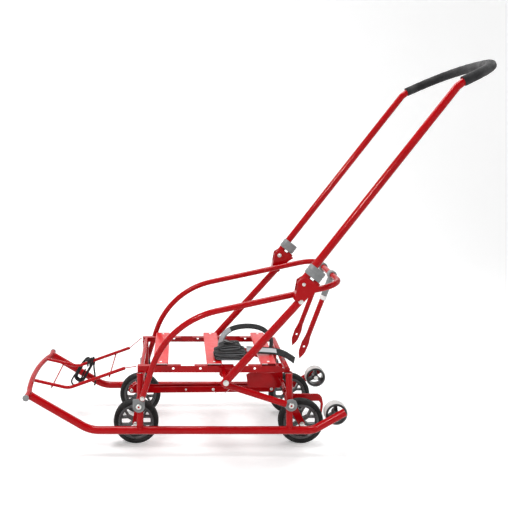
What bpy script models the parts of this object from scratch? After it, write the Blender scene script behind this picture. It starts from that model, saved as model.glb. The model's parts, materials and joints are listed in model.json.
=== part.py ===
"""A child's push sledge with retractable road wheels: the bare steel frame, without its fabric.

Metres, +Z up. The nose points along -X, so the sledge's left side is -Y. The design stations x are
measured rearwards from the front legs, and z from the ground that the four big wheels stand on. The
empty named sledge then moves the whole design so that the origin lies under the middle of its box.
"""

import math

import bmesh
import bpy
from mathutils import Matrix, Vector

GAP = 0.0003              # between pieces that touch
LEFT = -1
RIGHT = 1
ORIGIN_STATION = 0.3171   # the design station that becomes x = 0

# ---- driving dimensions -------------------------------------------------------------------------
RUNNER_GAUGE = 0.320      # between the two runner tubes, centre to centre
RUNNER_R = 0.0105
RUNNER_Z = 0.063
NOSE_BEND = 0.1345        # the runner turns up this far ahead of the front legs
NOSE_RISE = math.radians(31)
NOSE_REACH = 0.2935       # its tip, ahead of the front legs
TAIL_BEND = 0.0633        # the runner turns up this far behind the rear legs
TAIL_RISE = math.radians(30.3)
TAIL_REACH = 0.1490       # its tail end, behind the rear legs

BOW_R = 0.0075
BOW_FORWARD = 0.014       # how far the bow's middle stands ahead of its ends
BOW_OVERHANG = 0.026      # each end stands past its runner's centre

LEG_STATION = 0.4027      # the rear legs, behind the front legs
LEG_R = 0.009
LEG_BASE_Z = RUNNER_Z + 0.002

SEAT_WIDTH = 0.266        # over the two seat rails
SEAT_Z = 0.2309           # the top of the seat rails
LEG_TOP_OUT = 0.0055      # the leaning legs end this far outside the rails' outer faces
RAIL_DEPTH = 0.0182
RAIL_FLANGE = 0.015
SHEET = 0.0015            # pressed seat parts
RAIL_FRONT = -0.008
RAIL_REAR = 0.412
RAIL_END_SLOPE = 0.041    # the rails' rear ends are cut down over this length
SLAT_WIDTH = 0.042
SLAT_DEPTH = 0.0093
SLAT_OVERHANG = 0.005     # past each rail
SLAT_FIRST = 0.0545
SLAT_PITCH = 0.14675
CROSS_R = 0.008           # the tube across the seat's rear end
CROSS_STATION = 0.399
RAIL_HOLE_R = 0.0035
RAIL_HOLE_FIRST = 0.0893
RAIL_HOLE_PITCH = 0.0738

FOOTREST_Y = 0.087
FOOTREST_R = 0.0045
FOOTREST_ROD_R = 0.002
FOOTREST_ROD_LENGTH = 0.186

HOOP_WIDTH = 0.344        # between the hoop's arms, centre to centre
HOOP_R = 0.008
HOOP_REAR = 0.5325        # station of the cross bar at the back
HOOP_REAR_Z = 0.466
HOOP_SHOULDER = Vector((0.0724, 0.3648))
HOOP_SHOULDER_R = 0.234
HOOP_CORNER_R = 0.055

HANDLE_WIDTH = 0.410      # between the handle tubes, centre to centre
HANDLE_R = 0.010
HANDLE_LOW = Vector((0.2266, 0.2149))     # lower pivot
HANDLE_LOW_ANGLE = math.radians(48.4)
HANDLE_HOOP_BOLT = Vector((0.4180, 0.430))
HANDLE_RIVET = Vector((0.4238, 0.4750))   # the fold's axis
HANDLE_TOP_ANGLE = math.radians(52.6)
HANDLE_TOP_LENGTH = 0.640                 # from the rivet to the grip's bend
HANDLE_TOP_OFFSET = -0.004                # of the upper tube's axis from the rivet
GRIP_ANGLE = math.radians(25)
GRIP_DEPTH = 0.145
GRIP_R = 0.0132
GRIP_SQUARENESS = 2.4                     # 2 is an ellipse, more is squarer

SLEEVE_START = 0.0263     # along the upper tube from the rivet, with the handle locked
SLEEVE_LENGTH = 0.028
SLEEVE_FRONT = -0.0165
SLEEVE_REAR = 0.032
SLEEVE_HALF_THICK = 0.0135

WHEEL_R = 0.0625
WHEEL_TRACK = 0.196
WHEEL_WIDTH = 0.028
RIM_R = 0.0500            # where the tyre sits on the rim
AXLE_R = 0.004
SHAFT_R = 0.005
SHAFT_REACH = 0.0022      # past the outer face of a bearing
BEARING_R = 0.016
BEARING_THICK = 0.004
BEARING_CLEAR = 0.002153  # from a leg's widest place beside the bearing
BRACE_R = 0.0085
FRONT_SHAFT = Vector((-0.0029, 0.1310))
FRONT_AXLE_STATION = -0.0146
REAR_SHAFT = Vector((0.4053, 0.1345))
REAR_AXLE_STATION = 0.4435
ARM_THICK = 0.004
ARM_HALF_WIDTH = 0.011
CRANK = 0.0351            # from a shaft to the link's pin
CRANK_ANGLE = math.radians(208)
CRANK_THICK = 0.005
LINK_HALF_WIDTH = 0.0105
LINK_HALF_HEIGHT = 0.009
LINK_SHEET = 0.002
PIN_R = 0.003

SMALL_WHEEL_R = 0.031
SMALL_WHEEL_WIDTH = 0.026
SMALL_AXLE_STATION = 0.5315

STRUT_Y = 0.0575
STRUT_LENGTH = 0.255
STRUT_LEAN = math.radians(20)
STRUT_R = 0.007

STRAP_ROLL = math.radians(30)
ARCH_ROLL = math.radians(35)
ROPE_R = 0.0025
ROPE_WIND_R = 0.0100      # of the rope's turns round the footrest rail
WIND_TURNS = 3
WIND_START = -0.1570
WIND_PITCH = 0.0066
HANK_TURNS = 4

HALF_GAUGE = RUNNER_GAUGE / 2
HALF_SEAT = SEAT_WIDTH / 2
HALF_HANDLE = HANDLE_WIDTH / 2
SLAT_BOTTOM = SEAT_Z + GAP
SLAT_TOP = SLAT_BOTTOM + SLAT_DEPTH
RAIL_BOTTOM = SEAT_Z - RAIL_DEPTH
LEG_TOP_Y = HALF_SEAT + LEG_TOP_OUT
LEG_TOP_Z = RAIL_BOTTOM - GAP - 0.0012
LEG_SLOPE = (LEG_TOP_Y - HALF_GAUGE) / (LEG_TOP_Z - LEG_BASE_Z)
BEARING_LOW = min(FRONT_SHAFT.y, REAR_SHAFT.y) - BEARING_R
BEARING_IN = HALF_GAUGE + LEG_SLOPE * (BEARING_LOW - LEG_BASE_Z) + LEG_R + BEARING_CLEAR
BEARING_OUT = BEARING_IN + BEARING_THICK
SHAFT_HALF = BEARING_OUT + SHAFT_REACH


# ---- materials ----------------------------------------------------------------------------------
def material(name, colour, roughness, metallic=0.0):
    mat = bpy.data.materials.new(name)
    mat.use_nodes = True
    shader = mat.node_tree.nodes["Principled BSDF"]
    shader.inputs["Base Color"].default_value = (*colour, 1.0)
    shader.inputs["Roughness"].default_value = roughness
    shader.inputs["Metallic"].default_value = metallic
    mat.diffuse_color = (*colour, 1.0)
    return mat


# ---- shape helpers ------------------------------------------------------------------------------
def settle(obj, mat, origin, parent):
    """Gives the object its material, its origin in design stations, and its parent."""
    obj.data.materials.append(mat)
    obj.data.transform(Matrix.Translation(-Vector(origin)))
    obj.location = origin
    if parent.name != "sledge":
        obj.location = Vector(origin) - parent.location
    obj.parent = parent
    bpy.context.scene.collection.objects.link(obj)
    return obj


def mesh_object(name, bm, smooth=True):
    bmesh.ops.recalc_face_normals(bm, faces=bm.faces)
    mesh = bpy.data.meshes.new(name)
    bm.to_mesh(mesh)
    bm.free()
    if smooth:
        mesh.shade_smooth()
        mesh.set_sharp_from_angle(angle=math.radians(40))
    return bpy.data.objects.new(name, mesh)


def prism(name, outline, low, high, axis="Y"):
    """A closed outline swept along Y, points (x, z), or along X, points (y, z)."""
    bm = bmesh.new()
    if axis == "Y":
        points = [(a, low, b) for a, b in outline]
        sweep = Vector((0, high - low, 0))
    else:
        points = [(low, a, b) for a, b in outline]
        sweep = Vector((high - low, 0, 0))
    face = bm.faces.new([bm.verts.new(point) for point in points])
    swept = bmesh.ops.extrude_face_region(bm, geom=[face])
    moved = [v for v in swept["geom"] if isinstance(v, bmesh.types.BMVert)]
    bmesh.ops.translate(bm, verts=moved, vec=sweep)
    return mesh_object(name, bm)


def box(name, low, high):
    outline = [(low[0], low[2]), (high[0], low[2]), (high[0], high[2]), (low[0], high[2])]
    return prism(name, outline, low[1], high[1])


def bar(name, start, end, radius, sides=12):
    """A round bar between two points."""
    start, end = Vector(start), Vector(end)
    along = end - start
    bm = bmesh.new()
    bmesh.ops.create_cone(
        bm, cap_ends=True, segments=sides, radius1=radius, radius2=radius, depth=along.length
    )
    turn = along.to_track_quat("Z", "Y").to_matrix().to_4x4()
    bmesh.ops.transform(bm, verts=bm.verts, matrix=Matrix.Translation((start + end) / 2) @ turn)
    return mesh_object(name, bm)


def turned(name, profile, steps, centre=(0, 0, 0)):
    """A ring about the Y axis. Its profile is a closed loop of (radius, y) points."""
    bm = bmesh.new()
    rings = []
    for step in range(steps):
        angle = 2 * math.pi * step / steps
        ring = []
        for radius, y in profile:
            point = Vector((radius * math.cos(angle), y, radius * math.sin(angle)))
            ring.append(bm.verts.new(point + Vector(centre)))
        rings.append(ring)
    for step in range(steps):
        here, after = rings[step], rings[(step + 1) % steps]
        for k in range(len(profile)):
            m = (k + 1) % len(profile)
            bm.faces.new([here[k], here[m], after[m], after[k]])
    return mesh_object(name, bm)


def arc(centre, radius, start, end, steps):
    """Points of an arc, from angle start to angle end."""
    points = []
    for k in range(steps + 1):
        angle = start + (end - start) * k / steps
        points.append((centre[0] + radius * math.cos(angle), centre[1] + radius * math.sin(angle)))
    return points


def capsule(start, end, r_start, r_end, steps=6):
    """The outline of a link plate with a round end about each of its two centres."""
    along = math.atan2(end[1] - start[1], end[0] - start[0])
    quarter = math.pi / 2
    back = arc(start, r_start, along + quarter, along + 3 * quarter, steps)
    front = arc(end, r_end, along - quarter, along + quarter, steps)
    return back + front


def rounded(points, radii, step=math.radians(15)):
    """A route through corner points, each inner corner turned with its own radius."""
    points = [Vector(point) for point in points]
    route = [points[0]]
    for k in range(1, len(points) - 1):
        back = (points[k - 1] - points[k]).normalized()
        ahead = (points[k + 1] - points[k]).normalized()
        turn = math.pi - back.angle(ahead)
        radius = radii[k - 1]
        centre = points[k] + (back + ahead).normalized() * radius / math.cos(turn / 2)
        first = points[k] + back * radius * math.tan(turn / 2) - centre
        last = points[k] + ahead * radius * math.tan(turn / 2) - centre
        steps = max(2, round(turn / step))
        for j in range(steps + 1):
            spoke = first.slerp(last, j / steps)
            route.append(centre + spoke * radius / spoke.length)
    route.append(points[-1])
    return route


def tube(name, route, radius, sides=10, scales=None):
    """A round tube along a route. scales thins or thickens it at each point."""
    data = bpy.data.curves.new(name, "CURVE")
    data.dimensions = "3D"
    data.resolution_u = 1
    data.bevel_depth = radius
    data.bevel_resolution = sides // 2 - 2
    data.use_fill_caps = True
    spline = data.splines.new("POLY")
    spline.points.add(len(route) - 1)
    for k, point in enumerate(route):
        spline.points[k].co = (*point, 1.0)
        spline.points[k].radius = scales[k] if scales else 1.0
    return bpy.data.objects.new(name, data)


def helper(obj, parent):
    """Hides a piece that only cuts or joins, and places it with the piece that it shapes."""
    obj.hide_render = True
    obj.display_type = "WIRE"
    obj.parent = parent
    bpy.context.scene.collection.objects.link(obj)
    return obj


def shape(obj, operation, tools, origin, parent):
    """Cuts or joins tools, made in design stations, with an object whose origin has been set."""
    for tool in tools:
        tool.data.transform(Matrix.Translation(-Vector(origin)))
        tool.location = obj.location
        helper(tool, parent)
        modifier = obj.modifiers.new(operation.lower(), "BOOLEAN")
        modifier.operation = operation
        modifier.object = tool
    return obj


def along_top(distance, offset):
    """A point (x, z) of the upper handle: distance from the rivet along it, offset to its rear."""
    direction = Vector((math.cos(HANDLE_TOP_ANGLE), math.sin(HANDLE_TOP_ANGLE)))
    rearward = Vector((direction.y, -direction.x))
    return HANDLE_RIVET + direction * distance + rearward * offset


# ---- the scene ----------------------------------------------------------------------------------
def clear_scene():
    for obj in list(bpy.data.objects):
        bpy.data.objects.remove(obj)


def empty(name, location, parent=None):
    holder = bpy.data.objects.new(name, None)
    holder.location = location
    holder.parent = parent
    bpy.context.scene.collection.objects.link(holder)
    return holder


def side_name(side):
    return "left" if side == LEFT else "right"


# ---- frame --------------------------------------------------------------------------------------
def runner_route(side):
    y = side * HALF_GAUGE
    rear_bend = LEG_STATION + TAIL_BEND
    rear_end = LEG_STATION + TAIL_REACH
    nose_z = RUNNER_Z + (NOSE_REACH - NOSE_BEND) * math.tan(NOSE_RISE)
    tail_z = RUNNER_Z + (TAIL_REACH - TAIL_BEND) * math.tan(TAIL_RISE)
    corners = [
        (-NOSE_REACH, y, nose_z),
        (-NOSE_BEND, y, RUNNER_Z),
        (rear_bend, y, RUNNER_Z),
        (rear_end, y, tail_z),
    ]
    return rounded(corners, [0.09, 0.06], math.radians(8))


def bow_point(y):
    """The nose bow's centre line, which the runners' tips meet."""
    tip = Vector(runner_route(LEFT)[0])
    ahead = Vector((-math.cos(NOSE_RISE), 0, math.sin(NOSE_RISE)))
    reach = BOW_FORWARD * max(0.0, 1 - (y / (HALF_GAUGE - RUNNER_R)) ** 2)
    point = tip + ahead * (BOW_R + GAP + reach)
    return Vector((point.x, y, point.z))


def make_runners(red, root):
    for side in (LEFT, RIGHT):
        runner = tube("runner_" + side_name(side), runner_route(side), RUNNER_R, 12)
        settle(runner, red, (0, side * HALF_GAUGE, RUNNER_Z), root)
    end = HALF_GAUGE + BOW_OVERHANG
    inner = HALF_GAUGE - RUNNER_R
    stations = [-end, -inner]
    stations += [inner * k / 6 for k in range(-5, 6)]
    stations += [inner, end]
    bow = tube("nose_bow", [bow_point(y) for y in stations], BOW_R, 10)
    settle(bow, red, (-NOSE_REACH, 0, bow_point(0).z), root)


def footrest_z(x):
    """Height of a footrest rail's centre line on its rising rear part."""
    return 0.151 + (x + 0.204) * math.tan(math.radians(20.0))


def make_footrest(red, root):
    front = (-0.2982, 0.1731)
    dip = (-0.204, 0.151)
    rear_x = -0.0458
    rail_front_z = SEAT_Z - 0.004
    for side in (LEFT, RIGHT):
        y = side * FOOTREST_Y
        corners = [
            (front[0], y, front[1]),
            (dip[0], y, dip[1]),
            (rear_x, y, footrest_z(rear_x)),
        ]
        route = rounded(corners, [0.045], math.radians(8))
        thin = [1.0] * len(route)
        # A thin wire carries on from the rail's rear end to the seat's front corner.
        route.append(Vector((rear_x + 0.001, y, footrest_z(rear_x + 0.001))))
        route.append(Vector((RAIL_FRONT - 0.004, side * (HALF_SEAT - 0.008), rail_front_z)))
        thin += [0.28, 0.28]
        rail = tube("footrest_rail_" + side_name(side), route, FOOTREST_R, 8, thin)
        settle(rail, red, (dip[0], y, dip[1]), root)
    drop = FOOTREST_R + FOOTREST_ROD_R + GAP
    front_z = front[1] + (-0.2502 - front[0]) / (dip[0] - front[0]) * (dip[1] - front[1])
    rods = {
        "front": (-0.2502, front_z - drop - 0.0003),
        "rear": (-0.0892, footrest_z(-0.0892) - drop - 0.0006),
    }
    for place, (x, z) in rods.items():
        half = FOOTREST_ROD_LENGTH / 2
        rod = bar("footrest_rod_" + place, (x, -half, z), (x, half, z), FOOTREST_ROD_R, 8)
        settle(rod, red, (x, 0, z), root)


def leg_line(station):
    """Bottom and top of the left leg's centre line."""
    bottom = Vector((station, -HALF_GAUGE, LEG_BASE_Z))
    top = Vector((station, -LEG_TOP_Y, LEG_TOP_Z))
    return bottom, top


def make_legs(red, root):
    for place, station, shaft in (("front", 0.0, FRONT_SHAFT), ("rear", LEG_STATION, REAR_SHAFT)):
        for side in (LEFT, RIGHT):
            bottom, top = leg_line(station)
            bottom.y *= -side
            top.y *= -side
            leg = bar(place + "_leg_" + side_name(side), bottom, top, LEG_R, 12)
            settle(leg, red, bottom, root)
            outer = side * (HALF_GAUGE + 0.02)
            inner = side * (LEG_TOP_Y - 0.02)
            bore = bar("bore", (shaft.x, inner, shaft.y), (shaft.x, outer, shaft.y), SHAFT_R + 0.0006, 12)
            start = (station - 0.03, side * HALF_GAUGE, RUNNER_Z)
            end = (station + 0.03, side * HALF_GAUGE, RUNNER_Z)
            cope = bar("cope", start, end, RUNNER_R + GAP, 24)
            shape(leg, "DIFFERENCE", [bore, cope], bottom, root)


def make_seat(red, root):
    flange_in = HALF_SEAT - RAIL_FLANGE
    for side in (LEFT, RIGHT):
        outline = [
            (side * HALF_SEAT, RAIL_BOTTOM),
            (side * HALF_SEAT, SEAT_Z),
            (side * flange_in, SEAT_Z),
            (side * flange_in, SEAT_Z - SHEET),
            (side * (HALF_SEAT - SHEET), SEAT_Z - SHEET),
            (side * (HALF_SEAT - SHEET), RAIL_BOTTOM),
        ]
        rail = prism("seat_rail_" + side_name(side), outline, RAIL_FRONT, RAIL_REAR, "X")
        origin = (RAIL_FRONT, side * HALF_SEAT, RAIL_BOTTOM)
        settle(rail, red, origin, root)
        cutters = []
        across = sorted((side * (flange_in - 0.01), side * (HALF_SEAT + 0.01)))
        web = HALF_SEAT - SHEET - 0.0002
        inward = sorted((side * (flange_in - 0.01), side * web))
        for low, high in ((0.1102, 0.1469), (0.2541, 0.2935)):
            cutters.append(box("notch", (low, inward[0], SEAT_Z - 0.004), (high, inward[1], SEAT_Z + 0.004)))
        slope = [
            (RAIL_REAR - RAIL_END_SLOPE, SEAT_Z + 0.001),
            (RAIL_REAR + 0.003, RAIL_BOTTOM + 0.0005),
            (RAIL_REAR + 0.003, SEAT_Z + 0.001),
        ]
        cutters.append(prism("slope", slope, across[0], across[1]))
        for k in range(4):
            x = RAIL_HOLE_FIRST + k * RAIL_HOLE_PITCH
            z = SEAT_Z - RAIL_DEPTH * 0.39
            cutters.append(bar("hole", (x, across[0], z), (x, across[1], z), RAIL_HOLE_R, 10))
        shape(rail, "DIFFERENCE", cutters, origin, root)
    slat_length = SEAT_WIDTH + 2 * SLAT_OVERHANG
    for k, place in enumerate(("front", "middle", "rear")):
        x = SLAT_FIRST + k * SLAT_PITCH
        slat = pressed_strip("seat_slat_" + place, x, SLAT_WIDTH, SLAT_TOP, SLAT_DEPTH, slat_length)
        settle(slat, red, (x, 0, SLAT_TOP), root)
    strip_length = 2 * (flange_in - GAP)
    strip = pressed_strip("seat_cross_front", 0.0035, 0.010, SEAT_Z, 0.008, strip_length)
    settle(strip, red, (0.0035, 0, SEAT_Z), root)
    half = HALF_SEAT - SHEET - GAP
    cross_z = LEG_TOP_Z + CROSS_R + 0.0010
    cross = bar("seat_cross_rear", (CROSS_STATION, -half, cross_z), (CROSS_STATION, half, cross_z), CROSS_R, 12)
    settle(cross, red, (CROSS_STATION, 0, cross_z), root)


def pressed_strip(name, x, width, top, depth, length):
    """A strip of sheet across the seat, with both long edges folded down."""
    half = width / 2
    fold = SHEET * 1.2
    outline = [
        (x - half, top - depth),
        (x - half, top - fold),
        (x - half + fold, top),
        (x + half - fold, top),
        (x + half, top - fold),
        (x + half, top - depth),
        (x + half - SHEET, top - depth),
        (x + half - SHEET, top - SHEET),
        (x - half + SHEET, top - SHEET),
        (x - half + SHEET, top - depth),
    ]
    return prism(name, outline, -length / 2, length / 2)


def make_hoop(red, root):
    low_y = HALF_GAUGE + 0.006
    side_y = HOOP_WIDTH / 2
    half = [
        (0.0050, low_y, 0.1495),
        (HOOP_SHOULDER.x, side_y, HOOP_SHOULDER.y),
        (HOOP_REAR, side_y, HOOP_REAR_Z),
    ]
    corners = [Vector((x, -y, z)) for x, y, z in half]
    corners += [Vector(point) for point in reversed(half)]
    radii = [HOOP_SHOULDER_R, HOOP_CORNER_R, HOOP_CORNER_R, HOOP_SHOULDER_R]
    hoop = tube("hoop", rounded(corners, radii, math.radians(11)), HOOP_R, 10)
    settle(hoop, red, (HOOP_REAR, 0, HOOP_REAR_Z), root)


def make_bearings(grey, root):
    for place, shaft in (("front", FRONT_SHAFT), ("rear", REAR_SHAFT)):
        for side in (LEFT, RIGHT):
            near = side * BEARING_IN
            far = side * BEARING_OUT
            profile = [(SHAFT_R + 0.0006, near), (BEARING_R, near), (BEARING_R, far - side * 0.001),
                       (BEARING_R - 0.001, far), (SHAFT_R + 0.0006, far)]
            bearing = turned("bearing_%s_%s" % (place, side_name(side)), profile, 20, (shaft.x, 0, shaft.y))
            settle(bearing, grey, (shaft.x, near, shaft.y), root)


# ---- handle -------------------------------------------------------------------------------------
def low_handle(distance):
    """A point (x, z) of the lower handle tube, from its lower pivot."""
    return HANDLE_LOW + Vector((math.cos(HANDLE_LOW_ANGLE), math.sin(HANDLE_LOW_ANGLE))) * distance


def make_lower_handle(red, root):
    for side in (LEFT, RIGHT):
        y = side * HALF_HANDLE
        name = side_name(side)
        start, end = low_handle(-0.012), low_handle(0.3525)
        lower = bar("handle_lower_" + name, (start.x, y, start.y), (end.x, y, end.y), HANDLE_R, 12)
        origin = (HANDLE_LOW.x, y, HANDLE_LOW.y)
        settle(lower, red, origin, root)
        bolt_in = (HANDLE_HOOP_BOLT.x, side * (HOOP_WIDTH / 2 + HOOP_R + GAP), HANDLE_HOOP_BOLT.y)
        bolt_out = (HANDLE_HOOP_BOLT.x, y, HANDLE_HOOP_BOLT.y)
        shape(lower, "UNION", [bar("spacer", bolt_in, bolt_out, 0.006, 10)], origin, root)

        brace_start = (0.2260, side * (HALF_HANDLE - HANDLE_R - BRACE_R - 0.0020), 0.1990)
        brace_end = (REAR_SHAFT.x - 0.0165, side * (BEARING_OUT + BRACE_R + 0.0012), REAR_SHAFT.y + 0.009)
        brace = bar("brace_" + name, brace_start, brace_end, BRACE_R, 12)
        settle(brace, red, brace_start, root)

        plate_in = side * (HALF_SEAT + GAP)
        plate_out = side * (HALF_SEAT + GAP + 0.003)
        outline = [(0.2150, 0.2280), (0.2640, 0.2280), (0.2560, 0.2080), (0.2370, 0.1990), (0.2200, 0.2010),
                   (0.2140, 0.2080)]
        gusset = prism("handle_gusset_" + name, outline, *sorted((plate_in, plate_out)))
        origin = (HANDLE_LOW.x, plate_out, HANDLE_LOW.y)
        settle(gusset, red, origin, root)
        spacer_in = (HANDLE_LOW.x, plate_out - side * 0.001, HANDLE_LOW.y)
        spacer_out = (HANDLE_LOW.x, side * (HALF_HANDLE - HANDLE_R - GAP), HANDLE_LOW.y)
        shape(gusset, "UNION", [bar("spacer", spacer_in, spacer_out, 0.0058, 10)], origin, root)


def make_hinge_brackets(red, root):
    cheeks = [(0.4005, 0.434), (0.4095, 0.484), (0.4285, 0.4965), (0.469, 0.466), (0.4565, 0.458),
              (0.4215, 0.429)]
    slot = [(0.4035, 0.420), (0.4075, 0.457), (0.3950, 0.457), (0.3950, 0.520), (0.4900, 0.520),
            (0.4900, 0.420)]
    outer = HANDLE_R + 0.0030
    inner = HANDLE_R + 0.0005
    for side in (LEFT, RIGHT):
        y = side * HALF_HANDLE
        bracket = prism("hinge_bracket_" + side_name(side), cheeks, y - outer, y + outer)
        origin = (HANDLE_RIVET.x, y, HANDLE_RIVET.y)
        settle(bracket, red, origin, root)
        bolt = HANDLE_HOOP_BOLT
        notch = bar("notch", (bolt.x, side * (HALF_HANDLE - 0.02), bolt.y), (bolt.x, y, bolt.y), 0.0065, 16)
        tools = [prism("slot", slot, y - inner, y + inner), notch]
        shape(bracket, "DIFFERENCE", tools, origin, root)


def handle_bow():
    """Points of the grip's bow, from the left handle tube to the right one."""
    bend = along_top(HANDLE_TOP_LENGTH, HANDLE_TOP_OFFSET)
    count = 20
    points = []
    for k in range(count + 1):
        phase = math.pi * k / count
        reach = GRIP_DEPTH * abs(math.sin(phase)) ** (2 / GRIP_SQUARENESS)
        across = math.copysign(abs(math.cos(phase)) ** (2 / GRIP_SQUARENESS), -math.cos(phase))
        x = bend.x + reach * math.cos(GRIP_ANGLE)
        z = bend.y + reach * math.sin(GRIP_ANGLE)
        points.append(Vector((x, across * HALF_HANDLE, z)))
    return points


def make_upper_handle(red, foam, handle):
    foot = along_top(-0.008, HANDLE_TOP_OFFSET)
    bow = handle_bow()
    start = Vector((foot.x, -HALF_HANDLE, foot.y))
    end = Vector((foot.x, HALF_HANDLE, foot.y))
    upper = tube("handle_upper", [start, *bow, end], HANDLE_R, 12)
    settle(upper, red, (HANDLE_RIVET.x, 0, HANDLE_RIVET.y), handle)

    # The foam grip is one sleeve over the bow: an outer skin and an inner skin joined at the ends.
    route = [bow[0].lerp(bow[1], 0.15), *bow[1:-1], bow[-1].lerp(bow[-2], 0.15)]
    bm = bmesh.new()
    sides = 12
    skins = []
    for radius in (GRIP_R, HANDLE_R + 0.001):
        rings = []
        for k, point in enumerate(route):
            before, after = route[max(k - 1, 0)], route[min(k + 1, len(route) - 1)]
            along = ((point - before).normalized() + (after - point).normalized()).normalized()
            up = Vector((-math.sin(GRIP_ANGLE), 0, math.cos(GRIP_ANGLE)))
            across = along.cross(up).normalized()
            ring = []
            for j in range(sides):
                angle = 2 * math.pi * j / sides
                ring.append(bm.verts.new(point + (across * math.cos(angle) + up * math.sin(angle)) * radius))
            rings.append(ring)
        skins.append(rings)
        for k in range(len(rings) - 1):
            for j in range(sides):
                m = (j + 1) % sides
                bm.faces.new([rings[k][j], rings[k][m], rings[k + 1][m], rings[k + 1][j]])
    for end_index in (0, -1):
        for j in range(sides):
            m = (j + 1) % sides
            outer, inner = skins[0][end_index], skins[1][end_index]
            bm.faces.new([outer[j], outer[m], inner[m], inner[j]])
    grip = mesh_object("handle_grip", bm)
    settle(grip, foam, (HANDLE_RIVET.x, 0, HANDLE_RIVET.y), handle)


def make_sleeves(grey, handle):
    for side in (LEFT, RIGHT):
        y = side * HALF_HANDLE
        centre = along_top(SLEEVE_START + SLEEVE_LENGTH / 2, (SLEEVE_FRONT + SLEEVE_REAR) / 2)
        half = (SLEEVE_REAR - SLEEVE_FRONT) / 2 - SLEEVE_HALF_THICK
        outline = arc((half, 0), SLEEVE_HALF_THICK, -math.pi / 2, math.pi / 2, 6)
        outline += arc((-half, 0), SLEEVE_HALF_THICK, math.pi / 2, 3 * math.pi / 2, 6)
        bm = bmesh.new()
        levels = ((-0.5, 0.94), (-0.44, 1.0), (0.40, 1.0), (0.5, 0.90))
        rings = []
        for level, size in levels:
            ring = []
            for a, b in outline:
                across, depth = a * size, b * size
                x = centre.x + across * math.sin(HANDLE_TOP_ANGLE)
                z = centre.y - across * math.cos(HANDLE_TOP_ANGLE)
                x += level * SLEEVE_LENGTH * math.cos(HANDLE_TOP_ANGLE)
                z += level * SLEEVE_LENGTH * math.sin(HANDLE_TOP_ANGLE)
                ring.append(bm.verts.new((x, y + depth, z)))
            rings.append(ring)
        count = len(outline)
        for low, high in zip(rings, rings[1:]):
            for j in range(count):
                m = (j + 1) % count
                bm.faces.new([low[j], low[m], high[m], high[j]])
        bm.faces.new(rings[0])
        bm.faces.new(rings[-1])
        sleeve = mesh_object("locking_sleeve_" + side_name(side), bm)
        origin = (centre.x, y, centre.y)
        settle(sleeve, grey, origin, handle)
        low, high = along_top(0.0, HANDLE_TOP_OFFSET), along_top(0.09, HANDLE_TOP_OFFSET)
        bore = bar("bore", (low.x, y, low.y), (high.x, y, high.y), HANDLE_R + 0.0005, 16)
        shape(sleeve, "DIFFERENCE", [bore], origin, handle)


# ---- wheel lift ---------------------------------------------------------------------------------
def crank_pin(shaft):
    return shaft + Vector((math.cos(CRANK_ANGLE), math.sin(CRANK_ANGLE))) * CRANK


def make_carrier(place, red, root, shaft, axle_station):
    """One weldment: the cross shaft, an arm by each wheel, the wheels' axle, and the crank."""
    holder = empty("axis_%s_carrier" % place, (shaft.x, 0, shaft.y), root)
    origin = (shaft.x, 0, shaft.y)
    carrier = bar("%s_carrier" % place, (shaft.x, -SHAFT_HALF, shaft.y), (shaft.x, SHAFT_HALF, shaft.y), SHAFT_R, 16)
    settle(carrier, red, origin, holder)
    axle = Vector((axle_station, WHEEL_R))
    pin = crank_pin(shaft)
    arm_in = WHEEL_TRACK / 2 + WHEEL_WIDTH / 2 + 0.002
    arm_out = arm_in + ARM_THICK
    tools = []
    for side in (LEFT, RIGHT):
        low, high = sorted((side * arm_in, side * arm_out))
        outline = capsule(shaft, axle, ARM_HALF_WIDTH, ARM_HALF_WIDTH * 0.82, 6)
        tools.append(prism("arm", outline, low, high))
    reach = arm_out + 0.0045
    # The front wheels turn on stubs, because the link passes where a whole axle would run.
    inner = WHEEL_TRACK / 2 - WHEEL_WIDTH / 2 - 0.0005
    spans = [(-reach, -inner), (inner, reach)] if place == "front" else [(-reach, reach)]
    for low, high in spans:
        tools.append(bar("axle", (axle.x, low, axle.y), (axle.x, high, axle.y), AXLE_R, 12))
    tools.append(prism("crank", capsule(shaft, pin, 0.009, 0.0050, 5), -CRANK_THICK / 2, CRANK_THICK / 2))
    pin_half = LINK_HALF_WIDTH + 0.0015
    tools.append(bar("pin", (pin.x, -pin_half, pin.y), (pin.x, pin_half, pin.y), PIN_R, 10))
    shape(carrier, "UNION", tools, origin, holder)
    return holder, axle


def make_link(red, front_holder):
    """The channel that joins the two cranks. Its open side is up, and the cranks stand in it."""
    front, rear = crank_pin(FRONT_SHAFT), crank_pin(REAR_SHAFT)
    length = (rear - front).length
    tilt = math.atan2(rear.y - front.y, rear.x - front.x)
    link = prism("lift_link", capsule((0, 0), (length, 0), LINK_HALF_HEIGHT, LINK_HALF_HEIGHT, 8),
                 -LINK_HALF_WIDTH, LINK_HALF_WIDTH)
    inner = LINK_HALF_WIDTH - LINK_SHEET
    floor = -LINK_HALF_HEIGHT + LINK_SHEET
    trough = box("trough", (-0.02, -inner, floor), (length + 0.02, inner, 0.02))
    tools = [trough]
    for x in (0.0, length):
        tools.append(bar("eye", (x, -0.02, 0), (x, 0.02, 0), PIN_R + 0.0004, 12))
    link.data.materials.append(red)
    link.location = Vector((front.x, 0, front.y)) - front_holder.location
    link.rotation_euler = (0, -tilt, 0)
    link.parent = front_holder
    bpy.context.scene.collection.objects.link(link)
    for tool in tools:
        tool.location = link.location
        tool.rotation_euler = link.rotation_euler
        helper(tool, front_holder)
        modifier = link.modifiers.new("cut", "BOOLEAN")
        modifier.operation = "DIFFERENCE"
        modifier.object = tool


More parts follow.
